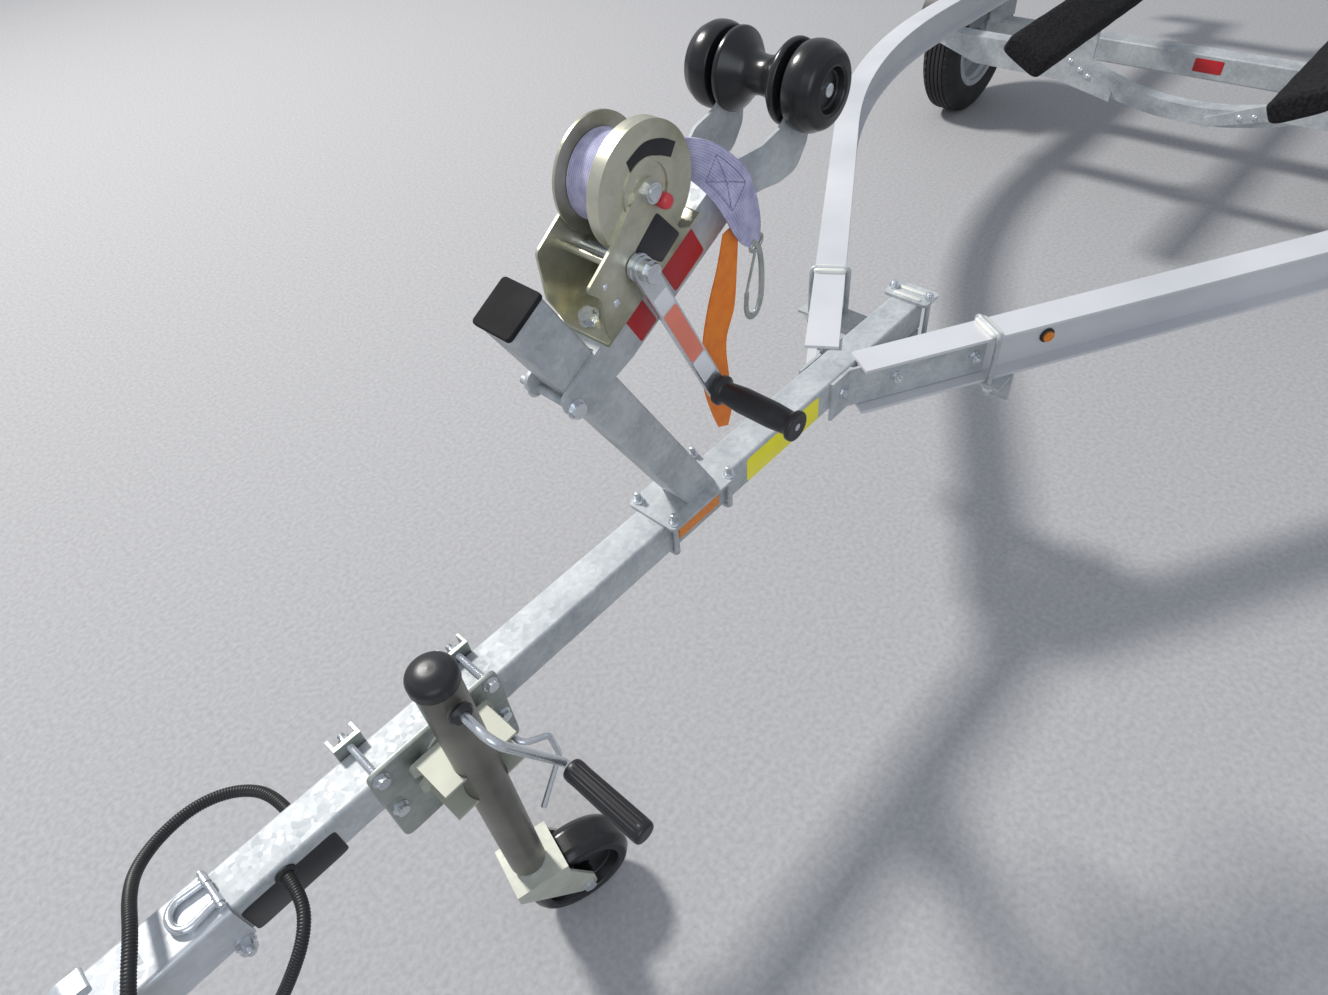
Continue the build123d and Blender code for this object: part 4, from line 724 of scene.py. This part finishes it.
# Snap hook: a forged flat hook, an oval eye through the strap's fold and a wire gate that closes its mouth.
# The section along its path is an ellipse, r(cos(a) n + 0.6 sin(a) m), thickest in the bend.
HOOK_Y = 0.0648
HOOK_FLAT = 0.6
EYE_MIDDLE = (0.2795, -0.1055, 0.0635)
EYE_HALF = (0.0125, 0.0080)
EYE_WIRE = 0.0027
GATE_WIRE = 0.0019
hook_share = np.linspace(0, 1, 70)
hook_places = [(1.262, 0.9600), (1.248, 0.942), (1.2425, 0.912), (1.2435, 0.872), (1.253, 0.8490), (1.267, 0.8470),
               (1.2755, 0.862), (1.2740, 0.888)]
hook_line = catmull([(x, HOOK_Y, z) for x, z in hook_places], len(hook_share))
hook_radii = 0.0042 + 0.0014 * np.sin(pi * hook_share) ** 2
eye_angle = turn(48)
eye_path = on_arm(EYE_MIDDLE[0] + EYE_HALF[0] * np.cos(eye_angle), EYE_MIDDLE[1] + EYE_HALF[1] * np.sin(eye_angle),
                  EYE_MIDDLE[2])
eye_across = unit(eye_path - eye_path.mean(axis=0))[:, None]
wire_angle = turn(16)[None, :, None]
eye_rings = eye_path[:, None] + EYE_WIRE * (np.cos(wire_angle) * eye_across + np.sin(wire_angle) * Y_AXIS)
gate_path = np.linspace((1.2740, HOOK_Y, 0.890), (1.2540, HOOK_Y, 0.944), 24)
hook_zinc = zinc("hook_zinc", (0.30, 0.33, 0.31), (0.52, 0.55, 0.52), 0.7, 0.28, 0.42, 200, 30.0)
piece("forged_hook", [
    skin(tube(hook_line, hook_radii, Y_AXIS, 20, HOOK_FLAT)), skin(eye_rings, loop=True),
    skin(tube(gate_path, GATE_WIRE, Y_AXIS, 12))], hook_zinc, "frame", ["snap_hook"], 50)


# Tie-down strap: orange webbing that hangs from the arm behind the hook, a little twisted.
TIE_THICK = 0.0020
TIE_CROWN = 0.0004
TIE_RIB = 0.0030
TIE_THREAD = 0.0020
tie_left = [(1.276, 0.0545, 0.990), (1.281, 0.0540, 0.930), (1.290, 0.0550, 0.872), (1.308, 0.0540, 0.825),
            (1.306, 0.0552, 0.760), (1.302, 0.0545, 0.706), (1.312, 0.0545, 0.674)]
tie_right = [(1.306, 0.0545, 0.985), (1.321, 0.0552, 0.944), (1.340, 0.0540, 0.898), (1.357, 0.0552, 0.845),
             (1.359, 0.0540, 0.780), (1.347, 0.0552, 0.724), (1.333, 0.0545, 0.685)]
tie_rings, tie_weave = strap(tie_left, tie_right, TIE_THICK, TIE_CROWN)[:2]
# The second colour is the painted shade of the rib troughs, and also the darker end of the random tone.
orange = webbing("orange_webbing", (0.95, 0.27, 0.008), (0.80, 0.17, 0.004), TIE_RIB, TIE_THREAD)
piece("tie_down", [skin(tie_rings)], orange, "frame", ["tie_strap"], 50, tie_weave)


# Winch crank: a flat bar with three blank stickers and a hexagon on its hub.
# The bar leans outward from the hub, so its stickers lie on a frame of their own.
HUB = on_arm(0.131, 0.043, 0.0)
CRANK_SWING = radians(21.7)
BAR_REACH = 0.233
BAR_SIDE = (0.058, 0.084)
BAR_HALF = 0.003
STICKER_HALF = 0.0125
HUB_NUT_SIDE = 0.070
COLLAR_SIDE = 0.0485
bar_start = HUB + BAR_SIDE[0] * Y_AXIS
bar_end = HUB + BAR_REACH * np.array([-sin(CRANK_SWING), 0, -cos(CRANK_SWING)]) + BAR_SIDE[1] * Y_AXIS
bar_along = unit(bar_end - bar_start)
bar_across = unit(np.cross(bar_along, Y_AXIS))
bar_out = np.cross(bar_across, bar_along)
bar_out = bar_out * np.sign(bar_out[1])


def sticker(first, last):
    """Film on the crank bar's outer face between two distances from the hub."""
    return skin(film([bar_start + along * bar_along + across * bar_across + BAR_HALF * bar_out
                      for along, across in rectangle((first, last), (STICKER_HALF, -STICKER_HALF))]))


sticker_white = moulded("sticker_white", (0.74, 0.75, 0.77), 0.4, 300.0, 0.00005, 1.1)
sticker_salmon = moulded("sticker_salmon", (0.78, 0.22, 0.15), 0.4, 300.0, 0.00005, 1.2)
piece("crank_stickers_white", [sticker(0.043, 0.070), sticker(0.165, 0.206)], sticker_white, "winch_crank")
piece("crank_sticker_salmon", [sticker(0.072, 0.163)], sticker_salmon, "winch_crank")
collar_profile = [(0.0135, 0), (0.0165, 0.0008), (0.0165, 0.0055), (0.0135, 0.0062)]
piece("crank_hub_nut", [
    fastener(HUB + HUB_NUT_SIDE * Y_AXIS, Y_AXIS, 0.021, 0.0075),
    skin(turned(collar_profile, HUB + COLLAR_SIDE * Y_AXIS, Y_AXIS), loop=True)],
    bright_zinc, "winch_crank")


# Black plastics: the jack's cap, the winch's grip and the mudguards are moulded, the post's cap is duller.
black_plastic = moulded("black_plastic", (0.014, 0.014, 0.016), 0.38, 700.0, 0.0002)
cap_plastic = moulded("cap_plastic", (0.012, 0.012, 0.013), 0.8, 800.0, 0.0003, gloss=0.2)
dress(black_plastic, "jack_cap", "winch_grip", "mudguards")
dress(cap_plastic, "post_cap")


# Bow roller: glossy black rubber like the jockey wheel's, with a retaining ring on each end of the shaft.
ROLLER = on_arm(0.446, -0.009, 0.0)
SHAFT_SIDE = 0.0885
black_rubber = moulded("black_rubber", (0.010, 0.010, 0.011), 0.26, 500.0, 0.0002)
dress(black_rubber, "bow_roller", "jockey_wheel")
shaft_end = [(0.0082, 0), (0.0125, 0.0003), (0.0128, 0.002), (0.0085, 0.0025), (0.0078, 0.0085), (0.0062, 0.0095),
             (0, 0.0095)]
piece("roller_ends", [skin(turned(shaft_end, ROLLER + s * SHAFT_SIDE * Y_AXIS, s * Y_AXIS)) for s in (-1, 1)],
      bright_zinc, "frame")


# Jack mount: a plate on the tongue's left side, held by two pairs of studs that pass over and under the tongue
# into upright channels on its right side, with the pivot's boss in the middle.
MOUNT_MIDDLE = np.array([1.892, 0.0, 0.479])
MOUNT_FACE = 0.03195
MOUNT_THICK = 0.006
PIVOT = np.array([1.883, 0.0, 0.508])
MOUNT_HALF = (0.104, 0.085)
STUD_X = (1.803, 1.981)
STUD_Z = (0.4685, 0.548)
STUD_Y = (-0.0555, 0.045)
STUD_RADIUS = 0.0048
STUD_RINGS = 135
CHANNEL_HALF = 0.020
CHANNEL_DEEP = 0.022
CHANNEL_WALL = 0.004
CHANNEL_WEB = 0.006
CHANNEL_OVER = 0.012


def upright(x):
    """Skin of a channel on the tongue's right side: its C outline carried along Z."""
    inside = CHANNEL_HALF - CHANNEL_WALL
    outline = np.array([
        (-CHANNEL_HALF, -CHANNEL_DEEP), (-inside, -CHANNEL_DEEP), (-inside, -CHANNEL_WEB), (inside, -CHANNEL_WEB),
        (inside, -CHANNEL_DEEP), (CHANNEL_HALF, -CHANNEL_DEEP), (CHANNEL_HALF, 0), (-CHANNEL_HALF, 0)])
    return skin(np.array([
        np.c_[outline + (x, -MOUNT_FACE), np.full(len(outline), z)]
        for z in (STUD_Z[0] - CHANNEL_OVER, STUD_Z[1] + CHANNEL_OVER)]))


mount_corners = [
    MOUNT_MIDDLE + (i * MOUNT_HALF[0], MOUNT_FACE, k * MOUNT_HALF[1]) for i, k in rectangle((1, -1), (-1, 1))]
boss_profile = [
    (0.048, 0.003), (0.048, 0.0142), (0.046, 0.0160), (0.012, 0.0160), (0.012, 0.033), (0.0105, 0.034), (0, 0.034)]
mount_skins = [
    skin(film(mount_corners, MOUNT_THICK, 18)),
    skin(turned(boss_profile, PIVOT + MOUNT_FACE * Y_AXIS, Y_AXIS))]
mount_skins += [upright(x) for x in STUD_X]
stud_radii = STUD_RADIUS + 0.0002 * (-1.0) ** np.arange(STUD_RINGS)
mount_studs = []
for x, z in rectangle(STUD_X, STUD_Z):
    mount_studs += [
        skin(tube(np.linspace((x, STUD_Y[0], z), (x, STUD_Y[1], z), STUD_RINGS), stud_radii, X_AXIS, 20)),
        fastener((x, MOUNT_FACE + MOUNT_THICK, z), Y_AXIS, 0.016, 0.008, 0.0115),
        fastener((x, -MOUNT_FACE - CHANNEL_WEB, z), -Y_AXIS, 0.016, 0.008)]
olive_plate = zinc("olive_plate", (0.27, 0.30, 0.28), (0.42, 0.45, 0.42), 0.6, 0.36, 0.5, 120)
piece("mount_plate", mount_skins, olive_plate, "frame", ["jack_mount"])
piece("mount_studs", mount_studs, bright_zinc, "frame")


# Jack: dark olive zinc on the tube, a creamy film on the pressed bracket and fork, a black bush round the crank.
# One node holds tube and bracket, so a place's distance from the tube's axis and its height choose the finish.
TUBE_AXIS = (1.883, 0.101)
TUBE_EDGE = (0.0292, 0.0302)
BRACKET_TOP = 0.60
BUSH_PLACE = (1.883, 0.1345, 0.690)
CASTOR = radians(15)
FORK_HALF = 0.0432


def bracket_and_tube():
    """Olive tube whose pressed bracket, the part more than 30 mm from the tube's axis, keeps its cream film."""
    material, tree, shader, place = finish("jack_finish", (0.2, 0.2, 0.17), 0.25, 0.36)
    parts = split(tree, place)
    offsets = [maths(tree, "SUBTRACT", parts[axis], middle) for axis, middle in zip("XY", TUBE_AXIS)]
    squares = [maths(tree, "MULTIPLY", offset, offset) for offset in offsets]
    outside = tree.nodes.new("ShaderNodeMapRange")
    outside.inputs["From Min"].default_value = TUBE_EDGE[0]
    outside.inputs["From Max"].default_value = TUBE_EDGE[1]
    tree.links.new(maths(tree, "SQRT", maths(tree, "ADD", *squares)), outside.inputs["Value"])
    low = maths(tree, "LESS_THAN", parts["Z"], BRACKET_TOP)
    chosen = maths(tree, "MULTIPLY", outside.outputs["Result"], low)
    cloud = noise(tree, place, 9.0, 6.0)
    grain = noise(tree, place, 260.0, 3.0)
    olive = tint(tree, cloud, (0.09, 0.09, 0.075), (0.19, 0.185, 0.155), (0.35, 0.65))
    pale = tint(tree, cloud, (0.40, 0.41, 0.35), (0.52, 0.53, 0.45), (0.35, 0.65))
    tree.links.new(blend_colours(tree, chosen, olive, pale), shader.inputs["Base Color"])
    roughness_from(tree, shader, chosen, 0.34, 0.62)
    relief(tree, shader, grain, 0.0003, 0.3)
    return material


dress(bracket_and_tube(), "jack_tube")
cream_zinc = zinc("cream_zinc", (0.42, 0.44, 0.38), (0.55, 0.56, 0.49), 0.25, 0.38, 0.52, 90)
dress(cream_zinc, "jack_fork")
bush_profile = [(0.0066, 0), (0.0155, 0), (0.0155, 0.004), (0.0125, 0.0075), (0.0066, 0.0075)]
piece("crank_bush", [skin(turned(bush_profile, BUSH_PLACE, Y_AXIS), loop=True)], black_plastic, "jack")
axle_line = np.array([sin(CASTOR), cos(CASTOR), 0])
axle_middle = np.array([1.8183, 0.1183, 0.089])
piece("fork_nuts", [
    fastener(axle_middle + s * FORK_HALF * axle_line, s * axle_line, 0.019, 0.008) for s in (-1, 1)],
    bright_zinc, "jockey_fork")


# Jack grip: black plastic turned on the crank's rod, with rounded flutes cut along it between its two ends.
# The flutes scale the radius by 1 - 0.055 (0.5 + 0.5 cos 14 a)^3.
GRIP_PLACE = np.array([1.8122, 0.0, 0.5381])
GRIP_FLUTES = 14
GRIP_COLUMNS = 168
FLUTE_DEPTH = 0.055
FLUTE_ENDS = (0.214, 0.329)
FLUTE_RUNOUT = 0.004
grip_profile = [
    (0.0064, 0.2070), (0.0128, 0.2072), (0.0150, 0.2100), (0.0156, 0.2160), (0.0152, 0.2300), (0.0156, 0.2700),
    (0.0159, 0.3050), (0.0159, 0.3280), (0.0148, 0.3345), (0.0110, 0.3368), (0.0, 0.3370)]
grip_rings = turned(catmull(grip_profile, 90).clip(min=0), GRIP_PLACE, Y_AXIS, GRIP_COLUMNS)
grip_height = grip_rings[..., 1:2]
grip_middle = GRIP_PLACE + grip_height * Y_AXIS
fluted = np.clip((grip_height - FLUTE_ENDS[0]) / FLUTE_RUNOUT, 0, 1)
fluted = fluted * np.clip((FLUTE_ENDS[1] - grip_height) / FLUTE_RUNOUT, 0, 1)
grip_angle = turn(GRIP_COLUMNS)[None, :, None]
flutes = FLUTE_DEPTH * fluted * (0.5 + 0.5 * np.cos(GRIP_FLUTES * grip_angle)) ** 3
grip_rings = grip_middle + (grip_rings - grip_middle) * (1 - flutes)
piece("fluted_grip", [skin(grip_rings)], black_plastic, "jack_crank", ["jack_grip"], 50)


# Pull pin's spring: a helix of seven turns round the pin, between the jack's bracket and the mount.
SPRING_TURNS = 7
SPRING_RADIUS = 0.0072
SPRING_LONG = 0.040
SPRING_WIRE = 0.0011
SPRING_PLACE = (1.829, 0.0560, 0.528)
spring_share = np.linspace(0, 1, 180)
spring_angle = 2 * pi * SPRING_TURNS * spring_share
spring_path = SPRING_PLACE + np.stack([
    SPRING_RADIUS * np.cos(spring_angle), SPRING_LONG * spring_share, SPRING_RADIUS * np.sin(spring_angle)], axis=1)
piece("pin_spring", [skin(tube(spring_path, SPRING_WIRE, Y_AXIS, 8))], bright_zinc, "jack")


# Bunks: boards wrapped in black carpet, the carpet folded over their ends.
# A superellipse section shrinks towards each end, with a fine nap over it.
BUNK_X = (-2.392, -0.492)
BUNK_TILT = radians(28)
BUNK_PLACE = (0.348, 0.572)
BUNK_HALF = (0.0675, 0.030)
END_ROUND = 0.016
END_DEPTH = 0.012


def bunk(side, rows=400, columns=96, power=5):
    """Rings |u/a|^p + |v/b|^p = 1 of one bunk, less d(1 - sqrt(1 - k^2)) at its ends, with small swells."""
    reach = (BUNK_X[1] - BUNK_X[0]) / 2
    along = reach * np.sin(np.linspace(-pi / 2, pi / 2, rows))
    to_end = np.clip((abs(along) - (reach - END_ROUND)) / END_ROUND, 0, 1)
    shrink = END_DEPTH * (1 - np.sqrt(1 - to_end ** 2 * 0.999))
    angle = turn(columns)
    u, v = superellipse(angle, power)
    swell = 0.0006 * np.sin(angle * 3 + along[:, None] * 17) * np.sin(along[:, None] * 41 + angle)
    wide = (BUNK_HALF[0] - shrink[:, None] + swell) * u
    thick = (BUNK_HALF[1] - shrink[:, None] + swell) * v
    y = side * (BUNK_PLACE[0] + wide * cos(BUNK_TILT) - thick * sin(BUNK_TILT))
    z = BUNK_PLACE[1] + wide * sin(BUNK_TILT) + thick * cos(BUNK_TILT)
    x = np.broadcast_to((sum(BUNK_X) / 2 + along)[:, None], y.shape)
    return np.stack([x, y, z], axis=-1)


def carpet():
    """Needled carpet: dense short fibres in two sizes of noise, with painted shade between its tufts."""
    material, tree, shader, place = finish("bunk_carpet", (0.012, 0.012, 0.013), 0.0, 0.95)
    fibres = noise(tree, place, 900.0, 4.0)
    painted_tuft_shade = noise(tree, place, 120.0, 3.0)
    # Colour darker where the tuft noise is low: painted shade between the tufts.
    tree.links.new(tint(tree, painted_tuft_shade, (0.007, 0.007, 0.008), (0.026, 0.025, 0.026)), shader.inputs["Base Color"])
    shader.inputs["Specular IOR Level"].default_value = 0.15
    relief(tree, shader, fibres, 0.0015, 0.7)
    return material


piece("carpeted_bunks", [skin(bunk(1)), skin(bunk(-1))], carpet(), "frame", ["bunks"], 60)


# Road wheels: galvanised rims with five acorn nuts and a valve, and tyres with grooved treads.
# The tyre's profile is lowered in five grooves round it and in slots across both shoulders.
HUB_X = -1.412
TYRE_RADIUS = 0.264
TREAD_RADIUS = 0.2615
SHOULDER_RADIUS = 0.249
SHOULDER_HALF = 0.037
GROOVES = (-0.034, -0.017, 0.0, 0.017, 0.034)
GROOVE_DEPTH = 0.006
GROOVE_HALF = 0.0021
LUGS = 56
SLOT_SHARE = 0.34
STUD_CIRCLE = 0.057
VALVE_CIRCLE = 0.128
low_corner, high_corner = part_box("tyre_left")
track_half = (low_corner[1] + high_corner[1]) / 2
tyre_corners = [
    (0.1503, -0.0557), (0.1663, -0.0557), (0.170, -0.0607), (0.190, -0.064), (0.215, -0.066), (0.240, -0.059),
    (0.254, -0.050), (0.2625, -0.040), (0.264, -0.028), (0.264, -0.014), (0.264, 0.0)]


def tyre(side):
    """Rings of a tyre: a smooth profile turned about the hub, less the grooves and the slots of the shoulders."""
    half = np.array(tyre_corners)
    outer = catmull(np.concatenate([half, half[-2::-1] * (1, -1)]), 150)
    inner = np.array([(0.1663, 0.0415), (0.186, 0.052), (0.238, 0.044), (0.250, 0.030), (0.250, -0.030),
                      (0.238, -0.044), (0.186, -0.052), (0.1663, -0.0415)])
    profile = np.concatenate([outer, inner])
    angle = turn(336)
    radius, y = profile[:, :1], profile[:, 1:]
    outside = np.arange(len(profile))[:, None] < len(outer)
    tread = outside & (radius > TREAD_RADIUS)
    shoulder = outside & (radius > SHOULDER_RADIUS) & (abs(y) > SHOULDER_HALF)
    ring_groove = np.max([np.exp(-((y - g) / GROOVE_HALF) ** 4) for g in GROOVES], axis=0)
    slots = (angle[None] * LUGS / (2 * pi) + 0.25 * np.sign(y)) % 1 < SLOT_SHARE
    cut = np.maximum(ring_groove * tread, slots * shoulder * 0.8) * GROOVE_DEPTH
    side_ring = 0.0006 * np.exp(-((radius - 0.222) / 0.0025) ** 2) * (abs(y) > 0.060)
    turned_radius = radius - cut
    y_all = np.broadcast_to(y + np.sign(y) * side_ring, turned_radius.shape)
    return np.stack([HUB_X + turned_radius * np.cos(angle), side * (track_half + y_all),
                     TYRE_RADIUS + turned_radius * np.sin(angle)], axis=-1)


tyre_rubber = moulded("tyre_rubber", (0.014, 0.014, 0.015), 0.72, 300.0, 0.0004)
for name, side in (("left", 1), ("right", -1)):
    piece(f"tread_{name}", [skin(tyre(side), loop=True)], tyre_rubber, f"wheel_{name}", [f"tyre_{name}"], 30)
    hub = np.array([HUB_X, side * (track_half - 0.001), TYRE_RADIUS])
    wheel_nuts = []
    for k in range(5):
        angle = 2 * pi * k / 5 + pi / 2
        foot = hub + STUD_CIRCLE * np.array([cos(angle), 0, sin(angle)])
        wheel_nuts.append(fastener(foot, side * Y_AXIS, 0.019, 0.013))
        wheel_nuts.append(dome(foot + side * 0.012 * Y_AXIS, side * Y_AXIS, 0.0085, 0.008))
    piece(f"wheel_nuts_{name}", wheel_nuts, bright_zinc, f"wheel_{name}")
    valve = hub + (0, side * 0.004, VALVE_CIRCLE)
    piece(f"valve_{name}", [skin(turned(
        [(0.006, 0), (0.0055, 0.012), (0.004, 0.016), (0.004, 0.030), (0, 0.031)], valve, side * Y_AXIS))],
        black_rubber, f"wheel_{name}")


# Lamps: moulded lenses, amber on the tongue and the beams, red and amber at the tail, with a fine prism grid whose
# facets carry painted highlight and shade.
# A black base with a bevelled edge carries each marker on the beams.
TAIL_X = -2.0
TAIL_SEAM = -2.4765
INDICATOR = 0.968
MARKER_ALONG = 0.398


def lens():
    """Coloured plastic: amber in front; at the tail a black housing with a red lens whose outer third is amber."""
    material, tree, shader, place = finish("lamp_lens", (0.8, 0.25, 0.01), 0.0, 0.16)
    parts = split(tree, place)
    at_tail = maths(tree, "LESS_THAN", parts["X"], TAIL_X)
    in_lens = maths(tree, "LESS_THAN", parts["X"], TAIL_SEAM)
    outer = maths(tree, "GREATER_THAN", maths(tree, "ABSOLUTE", parts["Y"]), INDICATOR)
    prisms = cells_of(tree, place, 420.0)["Distance"]
    # Each prism is painted lighter in its middle and darker towards its edges: painted highlight and shade of the
    # facets. The bump below gives their real relief.
    amber = tint(tree, prisms, (0.88, 0.30, 0.012), (0.66, 0.17, 0.006), (0.1, 0.7))
    red = tint(tree, prisms, (0.62, 0.012, 0.012), (0.35, 0.006, 0.006), (0.1, 0.7))
    housing = tint(tree, prisms, (0.012, 0.012, 0.013), (0.016, 0.016, 0.017))
    tail = blend_colours(tree, in_lens, housing, blend_colours(tree, outer, red, amber))
    tree.links.new(blend_colours(tree, at_tail, amber, tail), shader.inputs["Base Color"])
    relief(tree, shader, prisms, 0.0006, 0.5)
    return material


dress(lens(), "lamps")
base_profile = [(0.0112, 0), (0.0150, 0), (0.0150, 0.003), (0.0112, 0.0055)]
base_place = BEAM_NOSE + left_along * MARKER_ALONG + left_out * WEB_OUT
piece("marker_bases", [skin(turned(base_profile, base_place * side, left_out * side), loop=True) for side in SIDES],
      grommet_rubber, "frame")
